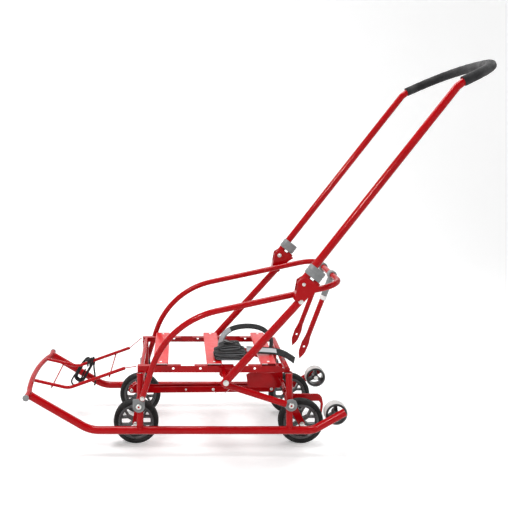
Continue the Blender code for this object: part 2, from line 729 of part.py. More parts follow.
def make_foot_lever(red, rear_holder, axle):
    """A flat lever on the rear axle, with a narrow foot strip bent down at its end."""
    outline = arc((axle.x, axle.y), 0.0085, math.radians(205), math.radians(352), 6)
    outline += [
        (axle.x + 0.0120, 0.0680),
        (axle.x + 0.0770, 0.0680),
        (axle.x + 0.0830, 0.0590),
        (axle.x + 0.0810, 0.0260),
        (axle.x + 0.0855, 0.0250),
        (axle.x + 0.0900, 0.0590),
        (axle.x + 0.0860, 0.0790),
        (axle.x + 0.0800, 0.0860),
        (axle.x + 0.0740, 0.0890),
        (axle.x - 0.0040, 0.0890),
        (axle.x - 0.0090, 0.0840),
    ]
    y = 0.022
    lever = prism("foot_lever", outline, y, y + 0.005)
    origin = (axle.x, y, axle.y)
    settle(lever, red, origin, rear_holder)
    bore = bar("bore", (axle.x, 0, axle.y), (axle.x, 0.05, axle.y), AXLE_R + GAP, 16)
    shape(lever, "DIFFERENCE", [bore], origin, rear_holder)


def make_spring(red, root):
    """A torsion spring round the rear shaft, hooked on a plate that hangs behind the seat."""
    plate_y = -0.056
    outline = [
        (0.2955, 0.1780),
        (0.3010, 0.1410),
        (0.3850, 0.1410),
        (0.3950, 0.1500),
        (0.3985, 0.1600),
        (0.3985, LEG_TOP_Z + 0.0005),
        (0.3790, LEG_TOP_Z + 0.0005),
        (0.3790, 0.1840),
        (0.3050, 0.1840),
    ]
    plate = prism("spring_bracket", outline, plate_y - 0.003, plate_y)
    settle(plate, red, (0.3985, plate_y, LEG_TOP_Z), root)
    wire, coil_r, turns, steps = 0.0012, 0.0078, 5, 10
    y0, y1 = -0.0790, -0.0640
    route = [Vector((0.3875, y0, 0.1760)), Vector((0.3960, y0, 0.1480))]
    first = math.radians(150)
    for k in range(turns * steps + 1):
        angle = first - 2 * math.pi * k / steps
        y = y0 + (y1 - y0) * k / (turns * steps)
        route.append(Vector((REAR_SHAFT.x + coil_r * math.cos(angle), y, REAR_SHAFT.y + coil_r * math.sin(angle))))
    route += [Vector((0.3935, y1, 0.1560)), Vector((0.3850, y1, 0.1730))]
    spring = tube("lift_spring", route, wire, 6)
    settle(spring, red, (REAR_SHAFT.x, y0, REAR_SHAFT.y), root)


# ---- wheels -------------------------------------------------------------------------------------
def tyre_mesh():
    half = WHEEL_WIDTH / 2
    profile = [
        (RIM_R, -half * 0.78),
        (WHEEL_R - 0.0065, -half),
        (WHEEL_R - 0.0025, -half * 0.86),
        (WHEEL_R, -half * 0.45),
        (WHEEL_R, half * 0.45),
        (WHEEL_R - 0.0025, half * 0.86),
        (WHEEL_R - 0.0065, half),
        (RIM_R, half * 0.78),
    ]
    return turned("tyre", profile, 28)


def rim_mesh(name, ring_out, ring_in, half, hub_r, bore_r, spokes, spoke_half, steps):
    """A ring and a hub, with its spokes let into both."""
    ring = turned(name, [(ring_in, -half), (ring_out, -half), (ring_out, half), (ring_in, half)], steps)
    hub = turned("hub", [(bore_r, -half), (hub_r, -half), (hub_r, half), (bore_r, half)], 14)
    tools = []
    for k in range(spokes):
        angle = 2 * math.pi * (k + 0.5) / spokes + (math.pi / 2 if spokes == 3 else 0)
        low, high = hub_r - 0.001, ring_in + 0.001
        spoke = box("spoke", (low, -half * 0.6, -spoke_half), (high, half * 0.6, spoke_half))
        spoke.data.transform(Matrix.Rotation(angle, 4, "Y"))
        tools.append(spoke)
    return ring, [hub, *tools]


def make_big_wheels(rubber, plastic, holders):
    tyre_data = None
    for place, (holder, axle) in holders.items():
        for side in (LEFT, RIGHT):
            name = "%s_%s" % (place, side_name(side))
            centre = Vector((axle.x, side * WHEEL_TRACK / 2, axle.y))
            if tyre_data is None:
                tyre_data = tyre_mesh().data
                tyre_data.materials.append(rubber)
            tyre = bpy.data.objects.new("tyre_" + name, tyre_data)
            tyre.location = centre - holder.location
            tyre.parent = holder
            bpy.context.scene.collection.objects.link(tyre)
            ring_out = RIM_R - GAP
            rim, tools = rim_mesh("rim_" + name, ring_out, ring_out - 0.0065, 0.0105, 0.0115, AXLE_R + GAP, 6,
                                  0.0035, 28)
            settle(rim, plastic, (0, 0, 0), holder)
            rim.location = centre - holder.location
            for tool in tools:
                tool.location = rim.location
                helper(tool, holder)
                modifier = rim.modifiers.new("join", "BOOLEAN")
                modifier.operation = "UNION"
                modifier.object = tool


def make_small_wheels(plastic, grey, root):
    slope_z = RUNNER_Z + (SMALL_AXLE_STATION - LEG_STATION - TAIL_BEND) * math.tan(TAIL_RISE)
    tail_in = HALF_GAUGE - RUNNER_R - GAP
    wheel_y = tail_in - 0.0007 - SMALL_WHEEL_WIDTH / 2
    for side in (LEFT, RIGHT):
        name = side_name(side)
        centre = Vector((SMALL_AXLE_STATION, side * wheel_y, slope_z))
        half = SMALL_WHEEL_WIDTH / 2
        ring, tools = rim_mesh("small_wheel_" + name, SMALL_WHEEL_R, SMALL_WHEEL_R - 0.0085, half, 0.009,
                               AXLE_R + GAP, 3, 0.0042, 24)
        settle(ring, plastic, (0, 0, 0), root)
        ring.location = centre
        for tool in tools:
            tool.location = centre
            helper(tool, root)
            modifier = ring.modifiers.new("join", "BOOLEAN")
            modifier.operation = "UNION"
            modifier.object = tool
        inner = side * (wheel_y - half - 0.0012)
        head = side * (wheel_y - half - 0.0042)
        stub = bar("small_axle_" + name, (centre.x, head, centre.z), (centre.x, side * tail_in, centre.z), AXLE_R, 12)
        origin = (centre.x, side * tail_in, centre.z)
        settle(stub, grey, origin, root)
        shape(stub, "UNION", [bar("head", (centre.x, head, centre.z), (centre.x, inner, centre.z), 0.0065, 10)],
              origin, root)


# ---- backrest struts ----------------------------------------------------------------------------
def make_struts(red, root):
    pivot = Vector((HOOP_REAR, HOOP_REAR_Z))
    down = Vector((-math.sin(STRUT_LEAN), -math.cos(STRUT_LEAN)))
    forward = Vector((-math.cos(STRUT_LEAN), math.sin(STRUT_LEAN)))
    top = HOOP_R + 0.0012

    def at(distance, offset=0.0):
        return pivot + down * distance + forward * offset

    half = STRUT_R
    flat = STRUT_LENGTH - 0.052
    # Half-widths in the side view and along Y: round above, flattened to a pointed blade below.
    sections = [
        (top, half, half),
        (flat - 0.020, half, half),
        (flat + 0.006, half * 1.5, half * 0.42),
        (STRUT_LENGTH - 0.020, half * 1.35, half * 0.42),
        (STRUT_LENGTH - 0.004, half * 0.45, half * 0.42),
        (STRUT_LENGTH, half * 0.15, half * 0.30),
    ]
    sides = 10
    for side in (LEFT, RIGHT):
        y = side * STRUT_Y
        bm = bmesh.new()
        rings = []
        for distance, wide, thick in sections:
            ring = []
            for j in range(sides):
                angle = 2 * math.pi * j / sides
                point = at(distance, wide * math.cos(angle))
                ring.append(bm.verts.new((point.x, y + thick * math.sin(angle), point.y)))
            rings.append(ring)
        for low, high in zip(rings, rings[1:]):
            for j in range(sides):
                m = (j + 1) % sides
                bm.faces.new([low[j], low[m], high[m], high[j]])
        bm.faces.new(rings[0])
        bm.faces.new(rings[-1])
        strut = mesh_object("back_strut_" + side_name(side), bm)
        origin = (pivot.x, y, pivot.y)
        settle(strut, red, origin, root)
        eye = at(flat + 0.013)
        hole = bar("hole", (eye.x, y - 0.02, eye.y), (eye.x, y + 0.02, eye.y), 0.0032, 10)
        shape(strut, "DIFFERENCE", [hole], origin, root)


# ---- soft pieces --------------------------------------------------------------------------------
def smooth_route(points, count):
    """Points read evenly from one smooth curve through the given points."""
    points = [Vector(point) for point in points]
    padded = [2 * points[0] - points[1], *points, 2 * points[-1] - points[-2]]
    dense = []
    for k in range(1, len(padded) - 2):
        a, b, c, d = padded[k - 1:k + 3]
        for j in range(24):
            t = j / 24
            dense.append(0.5 * (2 * b + (c - a) * t + (2 * a - 5 * b + 4 * c - d) * t * t
                                + (3 * b - a - 3 * c + d) * t ** 3))
    dense.append(points[-1])
    lengths = [0.0]
    for before, after in zip(dense, dense[1:]):
        lengths.append(lengths[-1] + (after - before).length)
    route = []
    k = 0
    for j in range(count):
        wanted = lengths[-1] * j / (count - 1)
        while k < len(dense) - 2 and lengths[k + 1] < wanted:
            k += 1
        share = (wanted - lengths[k]) / (lengths[k + 1] - lengths[k])
        route.append(dense[k].lerp(dense[k + 1], share))
    return route


def rope_route():
    """The tow rope: a tail, turns round the right footrest rail, a hank hanging from them, a loop."""
    route = [
        (-0.1570, 0.106, 0.0830),
        (-0.1550, 0.108, 0.1000),
        (-0.1570, 0.110, 0.1200),
        (-0.1590, 0.108, 0.1440),
        (-0.1560, 0.103, 0.1610),
    ]
    for k in range(WIND_TURNS * 8 + 1):
        angle = math.radians(35) + math.radians(45) * k
        x = WIND_START - WIND_PITCH * k / 8
        y = FOOTREST_Y + ROPE_WIND_R * math.cos(angle)
        route.append((x, y, footrest_z(x) + ROPE_WIND_R * math.sin(angle)))
    middle, down = Vector((-0.1900, 0.1290)), Vector((-0.495, -0.869))
    rearward = Vector((-down.y, down.x))
    oval = [(-0.034, 0), (-0.031, -0.0068), (-0.0255, -0.0085), (0, -0.0085), (0.0255, -0.0085),
            (0.031, -0.0068), (0.034, 0), (0.031, 0.0068), (0.0255, 0.0085), (0, 0.0085),
            (-0.0255, 0.0085), (-0.031, 0.0068)]
    for k in range(HANK_TURNS * len(oval) + 2):
        along, across = oval[k % len(oval)]
        spread = 1.45 + 0.20 * math.sin(0.4 * k)
        point = middle + down * along * (0.9 + 0.1 * spread) + rearward * across * spread
        route.append((point.x, 0.1030 + 0.0056 * k / len(oval), point.y))
    route += [
        (-0.2060, 0.1290, 0.1350),
        (-0.2180, 0.1315, 0.1130),
        (-0.2290, 0.1325, 0.0960),
        (-0.2330, 0.1330, 0.0830),
        (-0.2260, 0.1335, 0.0735),
        (-0.2140, 0.1335, 0.0755),
        (-0.2050, 0.1340, 0.0890),
        (-0.1970, 0.1340, 0.1070),
        (-0.1890, 0.1335, 0.1250),
    ]
    return smooth_route(route, 124)


def make_rope(black, root):
    rope = tube("tow_rope", rope_route(), ROPE_R, 8)
    settle(rope, black, (-0.18, FOOTREST_Y, 0.165), root)


def strap(name, route, half_width, half_thick, roll):
    """A flat band along a route in an XZ plane, its width turned from Y by roll. Points are (x, y, z)."""
    route = [Vector(point) for point in route]
    bm = bmesh.new()
    rings = []
    for k, point in enumerate(route):
        before, after = route[max(k - 1, 0)], route[min(k + 1, len(route) - 1)]
        along = (after - before).normalized()
        outward = Vector((-along.z, 0, along.x)).normalized()
        across = Vector((0, math.cos(roll), 0)) + outward * math.sin(roll)
        up = outward * math.cos(roll) - Vector((0, math.sin(roll), 0))
        ring = []
        for a, b in ((-1, -1), (1, -1), (1, 1), (-1, 1)):
            ring.append(bm.verts.new(point + across * a * half_width + up * b * half_thick))
        rings.append(ring)
    for low, high in zip(rings, rings[1:]):
        for j in range(4):
            m = (j + 1) % 4
            bm.faces.new([low[j], low[m], high[m], high[j]])
    bm.faces.new(rings[0])
    bm.faces.new(rings[-1])
    return mesh_object(name, bm, smooth=False)


def make_harness(webbing, root):
    top = SLAT_TOP + GAP
    bundle_outline = [
        (0.200, top),
        (0.286, top),
        (0.2925, top + 0.010),
        (0.274, top + 0.032),
        (0.248, top + 0.043),
        (0.218, top + 0.038),
        (0.197, top + 0.014),
    ]
    bundle = prism("harness_bundle", bundle_outline, -0.122, -0.052)
    settle(bundle, webbing, (0.245, -0.082, top), root)
    lie = [
        (0.2950, -0.066, top + 0.0130),
        (0.3200, -0.066, top + 0.0120),
        (0.3480, -0.066, top + 0.0108),
        (0.3760, -0.066, top + 0.0082),
        (0.4000, -0.066, top + 0.0010),
        (0.4180, -0.066, top - 0.0095),
        (0.4300, -0.066, top - 0.0180),
    ]
    settle(strap("harness_strap", lie, 0.0125, 0.0016, STRAP_ROLL), webbing, (0.35, -0.066, top), root)
    peak = 0.312
    arch = [
        (0.2200, -0.038, top + 0.0030),
        (0.2235, -0.038, 0.2660),
        (0.2330, -0.038, 0.2880),
        (0.2520, -0.038, 0.3040),
        (0.2800, -0.038, peak),
        (0.3120, -0.038, peak + 0.001),
        (0.3400, -0.038, 0.3060),
        (0.3600, -0.038, 0.2900),
        (0.3680, -0.038, 0.2700),
        (0.3660, -0.038, top + 0.0030),
    ]
    settle(strap("harness_arch", arch, 0.0080, 0.0026, ARCH_ROLL), webbing, (0.29, -0.038, top), root)


def main():
    clear_scene()
    red = material("red_paint", (0.55, 0.012, 0.02), 0.28, 0.0)
    grey = material("grey_plastic", (0.33, 0.34, 0.34), 0.5, 0.0)
    zinc = material("zinc", (0.62, 0.62, 0.60), 0.35, 1.0)
    rubber = material("black_rubber", (0.015, 0.015, 0.015), 0.75, 0.0)
    plastic = material("black_plastic", (0.035, 0.036, 0.038), 0.5, 0.0)
    foam = material("black_foam", (0.012, 0.012, 0.012), 0.9, 0.0)
    webbing = material("black_webbing", (0.012, 0.012, 0.013), 0.7, 0.0)

    root = empty("sledge", (-ORIGIN_STATION, 0, 0))
    make_runners(red, root)
    make_footrest(red, root)
    make_legs(red, root)
    make_seat(red, root)
    make_hoop(red, root)
    make_bearings(grey, root)
    make_lower_handle(red, root)
    make_hinge_brackets(red, root)

    handle = empty("axis_handle_fold", (HANDLE_RIVET.x, 0, HANDLE_RIVET.y), root)
    make_upper_handle(red, foam, handle)
    make_sleeves(grey, handle)

    front = make_carrier("front", red, root, FRONT_SHAFT, FRONT_AXLE_STATION)
    rear = make_carrier("rear", red, root, REAR_SHAFT, REAR_AXLE_STATION)
    make_link(red, front[0])
    make_foot_lever(red, rear[0], rear[1])
    make_spring(red, root)
    make_big_wheels(rubber, plastic, {"front": front, "rear": rear})
    make_small_wheels(plastic, zinc, root)

    make_struts(red, root)
    make_rope(webbing, root)
    make_harness(webbing, root)


main()
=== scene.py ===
"""Looks for the wheeled sledge frame: detailed tubes, wheels, grip, rope and harness on the CAD frame."""

import json
from math import copysign, cos, pi, radians, sin, tan

import bmesh
import bpy
from mathutils import Matrix, Vector


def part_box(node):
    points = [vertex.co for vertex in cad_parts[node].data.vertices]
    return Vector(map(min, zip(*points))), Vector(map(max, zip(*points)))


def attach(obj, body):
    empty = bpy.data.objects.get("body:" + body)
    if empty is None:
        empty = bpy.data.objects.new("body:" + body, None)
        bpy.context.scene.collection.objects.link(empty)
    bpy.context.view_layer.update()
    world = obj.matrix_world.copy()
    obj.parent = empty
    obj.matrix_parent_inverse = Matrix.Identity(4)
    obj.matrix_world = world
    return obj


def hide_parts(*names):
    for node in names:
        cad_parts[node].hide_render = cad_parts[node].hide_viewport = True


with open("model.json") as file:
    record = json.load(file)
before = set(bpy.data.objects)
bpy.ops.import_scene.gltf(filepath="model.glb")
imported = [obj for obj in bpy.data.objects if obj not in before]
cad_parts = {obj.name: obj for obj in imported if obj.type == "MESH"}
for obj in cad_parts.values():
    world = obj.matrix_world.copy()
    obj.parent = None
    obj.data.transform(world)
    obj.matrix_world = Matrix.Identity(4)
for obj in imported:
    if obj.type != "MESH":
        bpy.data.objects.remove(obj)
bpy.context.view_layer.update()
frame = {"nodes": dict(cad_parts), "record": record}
STATION = 0.3171          # the front legs' station, ahead of the origin
LEFT, RIGHT = SIDES = -1, 1
ROOT = "frame"
FRONT_SHAFT = (-0.0029, 0.131)
REAR_SHAFT = (0.4053, 0.1345)
FRONT_AXLE = (-0.0146, 0.0625)
REAR_AXLE = (0.4435, 0.0625)
CRANK = 0.0351            # the crank pin's distance from its shaft
CRANK_ANGLE = radians(208)
REAR_LEG = 0.4027         # station of the rear legs
RUNNER_Y, RUNNER_Z = 0.16, 0.063
NOSE_RISE = radians(31)
TAIL_RISE = radians(30.3)
BOW_TIP_Y = 0.186
FOOTREST_Y = 0.087
SEAT_TOP = 0.2405
SLAT_FIRST, SLAT_PITCH = 0.0545, 0.14675
HANDLE_Y = 0.205
HANDLE_R = 0.01
HANDLE_LOW = (0.2266, 0.2149)
HOOP_BOLT = (0.418, 0.43)
HOOP_BACK = (0.5325, 0.466)
WHEEL_Y = 0.098
TAIL_WHEEL_Y = 0.1355
BEARING_IN, BEARING_OUT = 0.1638, 0.1678
RIVET = (0.4238, 0.475)
TOP_ANGLE = radians(52.6)


def at(x, y, z):
    """A point given by its station behind the front legs."""
    return Vector((x - STATION, y, z))


def side_name(side):
    return "left" if side == LEFT else "right"


# ---- camera -------------------------------------------------------------------------------------
def make_camera():
    data = bpy.data.cameras.new("camera")
    data.sensor_width = 36
    data.lens = 46.06
    data.shift_x = 0.1457
    data.shift_y = -0.1201
    camera = bpy.data.objects.new("camera", data)
    camera.location = at(0.1075, -1.85, 0.8526)
    camera.rotation_euler = (radians(85), 0, 0)
    bpy.context.scene.collection.objects.link(camera)
    bpy.context.scene.camera = camera


# ---- shapes -------------------------------------------------------------------------------------
def finish_mesh(name, bm, body, material, replaces=(), angle=35):
    bmesh.ops.recalc_face_normals(bm, faces=bm.faces)
    mesh = bpy.data.meshes.new(name)
    bm.to_mesh(mesh)
    bm.free()
    mesh.shade_smooth()
    mesh.set_sharp_from_angle(angle=radians(angle))
    mesh.materials.append(material)
    obj = bpy.data.objects.new(name, mesh)
    bpy.context.scene.collection.objects.link(obj)
    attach(obj, body)
    if replaces:
        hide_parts(*replaces)
    return obj


def circle(count):
    """(cosine, sine) at even steps round a circle."""
    return [(cos(2 * pi * k / count), sin(2 * pi * k / count)) for k in range(count)]


def skin(bm, rings, closed=False):
    """Joins rings of vertices with quads. Each ring is a closed loop."""
    pairs = list(zip(rings, rings[1:]))
    if closed:
        pairs.append((rings[-1], rings[0]))
    for low, high in pairs:
        for j in range(len(low)):
            m = (j + 1) % len(low)
            bm.faces.new([low[j], low[m], high[m], high[j]])


def closed_skin(bm, rings):
    """Joins rings of vertices and closes both ends."""
    skin(bm, rings)
    bm.faces.new(rings[0])
    bm.faces.new(rings[-1])


def mirrored(half):
    """A closed profile of (radius, y) from its half on the positive side of y."""
    return [(r, -y) for r, y in half] + [(r, y) for r, y in reversed(half)]


def frames_along(route):
    """A tangent and two normals at each point, carried along without twist."""
    tangents = []
    for k, point in enumerate(route):
        before = (point - route[k - 1]).normalized() if k else (route[1] - point).normalized()
        after = (route[k + 1] - point).normalized() if k < len(route) - 1 else before
        tangents.append((before + after).normalized())
    normal = tangents[0].orthogonal()
    found = []
    for tangent in tangents:
        normal = (normal - tangent * normal.dot(tangent)).normalized()
        found.append((tangent, normal, tangent.cross(normal)))
    return found


def add_tube(bm, route, radius, sides=20, scales=None, ends="flat"):
    """A tube in bm. ends: flat or open, which shows the tube's wall."""
    route = [Vector(point) for point in route]
    count = len(route)
    frames = frames_along(route)

    def ring(k, size, ahead=0.0):
        tangent, normal, other = frames[k]
        loop = []
        for a, b in circle(sides):
            offset = normal * a + other * b
            loop.append(bm.verts.new(route[k] + tangent * ahead + offset * radius * size))
        return loop

    def size_at(k):
        return scales[k] if scales else 1.0

    def end_rings(k, outward):
        size = size_at(k)
        if ends == "open":
            return [
                ring(k, size * 0.93, outward * 0.0004),
                ring(k, size * 0.84, outward * 0.0001),
                ring(k, size * 0.82, -outward * radius * 1.6),
            ]
        return [ring(k, size * 0.9, outward * 0.0005)]

    first = end_rings(0, -1)
    last = end_rings(count - 1, 1)
    rings = list(reversed(first)) + [ring(k, size_at(k)) for k in range(count)] + last
    closed_skin(bm, rings)


def tube(name, route, radius, body, material, replaces=(), sides=20, **more):
    bm = bmesh.new()
    add_tube(bm, route, radius, sides, **more)
    return finish_mesh(name, bm, body, material, replaces)


def add_lathe(bm, profile, steps, centre):
    """A ring about the Y axis through centre. profile is a closed loop of (radius, y)."""
    rings = []
    for a, b in circle(steps):
        rings.append([bm.verts.new(Vector((r * a, y, r * b)) + centre) for r, y in profile])
    skin(bm, rings, closed=True)


def add_disc(bm, profile, steps, centre, side=1):
    """A solid of revolution about the Y axis, closed at both ends. profile is (radius, y) points."""
    rings = []
    for r, y in profile:
        rings.append([bm.verts.new(Vector((r * a, y * side, r * b)) + centre) for a, b in circle(steps)])
    closed_skin(bm, rings)


def add_prism(bm, outline, low, high, turn=0.0, centre=None, edge=0.0):
    """An outline of (x, z) points swept along Y, turned about Y, with chamfered rims."""
    centre = centre or Vector((0, 0, 0))
    middle = Vector((sum(p[0] for p in outline) / len(outline), sum(p[1] for p in outline) / len(outline)))
    rings = []
    levels = [(low, edge), (low + edge, 0), (high - edge, 0), (high, edge)] if edge else [(low, 0),
                                                                                          (high, 0)]
    for y, inset in levels:
        ring = []
        for x, z in outline:
            away = Vector((x, z)) - middle
            if inset:
                away *= max(0.0, 1 - inset / away.length)
            point = Vector((middle.x + away.x, y, middle.y + away.y))
            ring.append(bm.verts.new(Matrix.Rotation(turn, 3, "Y") @ point + centre))
        rings.append(ring)
    closed_skin(bm, rings)


def arc(centre, radius, start, end, steps):
    points = []
    for k in range(steps + 1):
        angle = start + (end - start) * k / steps
        points.append((centre[0] + radius * cos(angle), centre[1] + radius * sin(angle)))
    return points


def rounded(points, radii, step=radians(4)):
    """A route through corner points, each inner corner turned with its own radius."""
    points = [Vector(point) for point in points]
    route = [points[0]]
    for k in range(1, len(points) - 1):
        back = (points[k - 1] - points[k]).normalized()
        ahead = (points[k + 1] - points[k]).normalized()
        turn = pi - back.angle(ahead)
        radius = radii[k - 1]
        centre = points[k] + (back + ahead).normalized() * radius / cos(turn / 2)
        first = points[k] + back * radius * tan(turn / 2) - centre
        last = points[k] + ahead * radius * tan(turn / 2) - centre
        steps = max(2, round(turn / step))
        for j in range(steps + 1):
            spoke = first.slerp(last, j / steps)
            route.append(centre + spoke * radius / spoke.length)
    route.append(points[-1])
    return route


def smooth_route(points, count):
    """Points read evenly from one smooth curve through the given points."""
    points = [Vector(point) for point in points]
    padded = [2 * points[0] - points[1], *points, 2 * points[-1] - points[-2]]
    dense = []
    for k in range(1, len(padded) - 2):
        a, b, c, d = padded[k - 1:k + 3]
        for j in range(24):
            t = j / 24
            dense.append(0.5 * (2 * b + (c - a) * t + (2 * a - 5 * b + 4 * c - d) * t * t
                                + (3 * b - a - 3 * c + d) * t ** 3))
    dense.append(points[-1])
    lengths = [0.0]
    for before, after in zip(dense, dense[1:]):
        lengths.append(lengths[-1] + (after - before).length)
    route = []
    k = 0
    for j in range(count):
        wanted = lengths[-1] * j / (count - 1)
        while k < len(dense) - 2 and lengths[k + 1] < wanted:
            k += 1
        share = (wanted - lengths[k]) / (lengths[k + 1] - lengths[k])
        route.append(dense[k].lerp(dense[k + 1], share))
    return route


def along_top(distance, offset):
    """A point (x, z) on the upper handle, in design stations."""
    x = RIVET[0] + cos(TOP_ANGLE) * distance + sin(TOP_ANGLE) * offset
    z = RIVET[1] + sin(TOP_ANGLE) * distance - cos(TOP_ANGLE) * offset
    return x, z


# ---- materials ----------------------------------------------------------------------------------
class Nodes:
    """A material being built: its shader, its tree, and short ways to add and join nodes."""

    def __init__(self, name):
        self.material = bpy.data.materials.new(name)
        self.material.use_nodes = True
        self.tree = self.material.node_tree
        self.shader = self.tree.nodes["Principled BSDF"]
        self.coords = self.add("ShaderNodeTexCoord").outputs["Object"]

    def add(self, kind, inputs=None, **settings):
        node = self.tree.nodes.new(kind)
        for key, value in settings.items():
            setattr(node, key, value)
        for key, value in (inputs or {}).items():
            if isinstance(value, bpy.types.NodeSocket):
                self.tree.links.new(value, node.inputs[key])
            else:
                node.inputs[key].default_value = value
        return node

    def noise(self, scale, detail=3.0, rough=0.5, coords=None):
        inputs = {"Vector": coords or self.coords, "Scale": scale, "Detail": detail, "Roughness": rough}
        return self.add("ShaderNodeTexNoise", inputs).outputs["Fac"]

    def remap(self, value, low, high, to_low=0.0, to_high=1.0):
        inputs = {"Value": value, "From Min": low, "From Max": high, "To Min": to_low, "To Max": to_high}
        return self.add("ShaderNodeMapRange", inputs).outputs["Result"]

    def maths(self, operation, a, b=0.0):
        return self.add("ShaderNodeMath", {0: a, 1: b}, operation=operation).outputs[0]

    def mix(self, factor, a, b):
        node = self.add("ShaderNodeMix", data_type="RGBA")
        for key, value in ((0, factor), (6, a), (7, b)):
            if isinstance(value, bpy.types.NodeSocket):
                self.tree.links.new(value, node.inputs[key])
            else:
                node.inputs[key].default_value = (*value, 1.0) if key > 0 else value
        return node.outputs[2]

    def axis(self, name):
        return self.add("ShaderNodeSeparateXYZ", {0: self.coords}).outputs[name]

    def bump(self, height, strength, distance=0.001, after=None):
        inputs = {"Height": height, "Strength": strength, "Distance": distance}
        if after:
            inputs["Normal"] = after
        return self.add("ShaderNodeBump", inputs).outputs["Normal"]

    def link(self, name, socket):
        self.tree.links.new(socket, self.shader.inputs[name])

    def set(self, **values):
        for key, value in values.items():
            self.shader.inputs[key.replace("_", " ")].default_value = value


def paint_material(name, worn_below=None, painted_highlight_gain=1.0, rough_low=0.16, rough_high=0.27, gloss=0.07):
    """Glossy red powder coat with orange peel, fine dust and small chips. A runner's sole is worn. A gain
    above 1 brightens the base colour as a painted highlight, as on the seat slats.
    """
    m = Nodes(name)
    broad = m.noise(5.0, 3.0)
    # The gain scales both reds; above 1 it paints a highlight into the colour.
    colour = m.mix(m.remap(broad, 0.3, 0.7), (0.29 * painted_highlight_gain, 0.0002, 0.002), (0.345 * painted_highlight_gain, 0.0004, 0.0026))
    chips = m.remap(m.noise(300.0, 4.0, 0.7), 0.755, 0.775)
    colour = m.mix(chips, colour, (0.1, 0.015, 0.015))
    dust = m.remap(m.noise(70.0, 5.0, 0.7), 0.55, 0.8, 0.0, 0.025)
    colour = m.mix(dust, colour, (0.5, 0.28, 0.26))
    rough = m.remap(m.noise(60.0, 3.0), 0.3, 0.7, rough_low, rough_high)
    if worn_below:
        height = m.remap(m.axis("Z"), worn_below - 0.0035, worn_below, 1.0, 0.0)
        streaks = m.add("ShaderNodeMapping", {"Vector": m.coords, "Scale": (14.0, 420.0, 420.0)})
        wear = m.maths("MULTIPLY", height, m.remap(m.noise(1.0, 4.0, 0.6, streaks.outputs[0]), 0.42, 0.6))
        colour = m.mix(wear, colour, (0.42, 0.41, 0.4))
        rough = m.maths("ADD", rough, m.maths("MULTIPLY", wear, 0.15))
        m.link("Metallic", wear)
    m.link("Base Color", colour)
    m.link("Roughness", rough)
    peel = m.bump(m.noise(380.0, 2.0), 0.07, 0.0006)
    m.link("Normal", m.bump(chips, -0.25, 0.0004, peel))
    m.set(Specular_IOR_Level=gloss, Coat_Weight=0.24, Coat_Roughness=0.07, Coat_IOR=1.45)
    return m.material


def plastic_material(name, dark, light, low, high):
    """Moulded plastic: a fine etched grain, faint flow marks and rubbed patches."""
    m = Nodes(name)
    patches = m.noise(26.0, 5.0, 0.6)
    m.link("Base Color", m.mix(m.remap(patches, 0.35, 0.68), dark, light))
    m.link("Roughness", m.remap(m.noise(90.0, 3.0), 0.3, 0.7, low, high))
    m.link("Normal", m.bump(m.noise(620.0, 3.0, 0.7), 0.18, 0.0005))
    return m.material


def zinc_material():
    m = Nodes("zinc_plate")
    streaks = m.add("ShaderNodeMapping", {"Vector": m.coords, "Scale": (60.0, 900.0, 60.0)})
    brushed = m.noise(1.0, 3.0, 0.6, streaks.outputs[0])
    m.link("Base Color", m.mix(m.remap(m.noise(140.0, 4.0), 0.35, 0.7), (0.56, 0.56, 0.54),
                               (0.74, 0.73, 0.7)))
    m.link("Roughness", m.remap(brushed, 0.3, 0.7, 0.24, 0.42))
    m.link("Normal", m.bump(brushed, 0.1, 0.0003))
    m.set(Metallic=1.0)
    return m.material


def tyre_material(name, dark, light):
    """Solid rubber: matt, dusty in the tread, with tiny scuffs."""
    m = Nodes(name)
    dust = m.remap(m.noise(45.0, 6.0, 0.7), 0.45, 0.75)
    m.link("Base Color", m.mix(dust, dark, light))
    m.link("Roughness", m.remap(m.noise(130.0, 3.0), 0.3, 0.7, 0.52, 0.8))
    m.link("Normal", m.bump(m.noise(850.0, 3.0, 0.7), 0.25, 0.0004))
    m.set(Specular_IOR_Level=0.3)
    return m.material


def foam_material():
    """Closed-cell foam: small dark cells, a soft sheen, and hand-polished patches."""
    m = Nodes("foam")
    cells = m.add("ShaderNodeTexVoronoi", {"Vector": m.coords, "Scale": 900.0}).outputs["Distance"]
    worn = m.remap(m.noise(24.0, 4.0), 0.4, 0.7)
    m.link("Base Color", m.mix(worn, (0.008, 0.008, 0.009), (0.026, 0.026, 0.027)))
    m.link("Roughness", m.remap(worn, 0.0, 1.0, 0.92, 0.7))
    m.link("Normal", m.bump(m.noise(150.0, 4.0), 0.2, 0.0008, m.bump(cells, 0.45, 0.0006)))
    m.set(Specular_IOR_Level=0.3, Sheen_Weight=0.1, Sheen_Roughness=0.5)
    return m.material


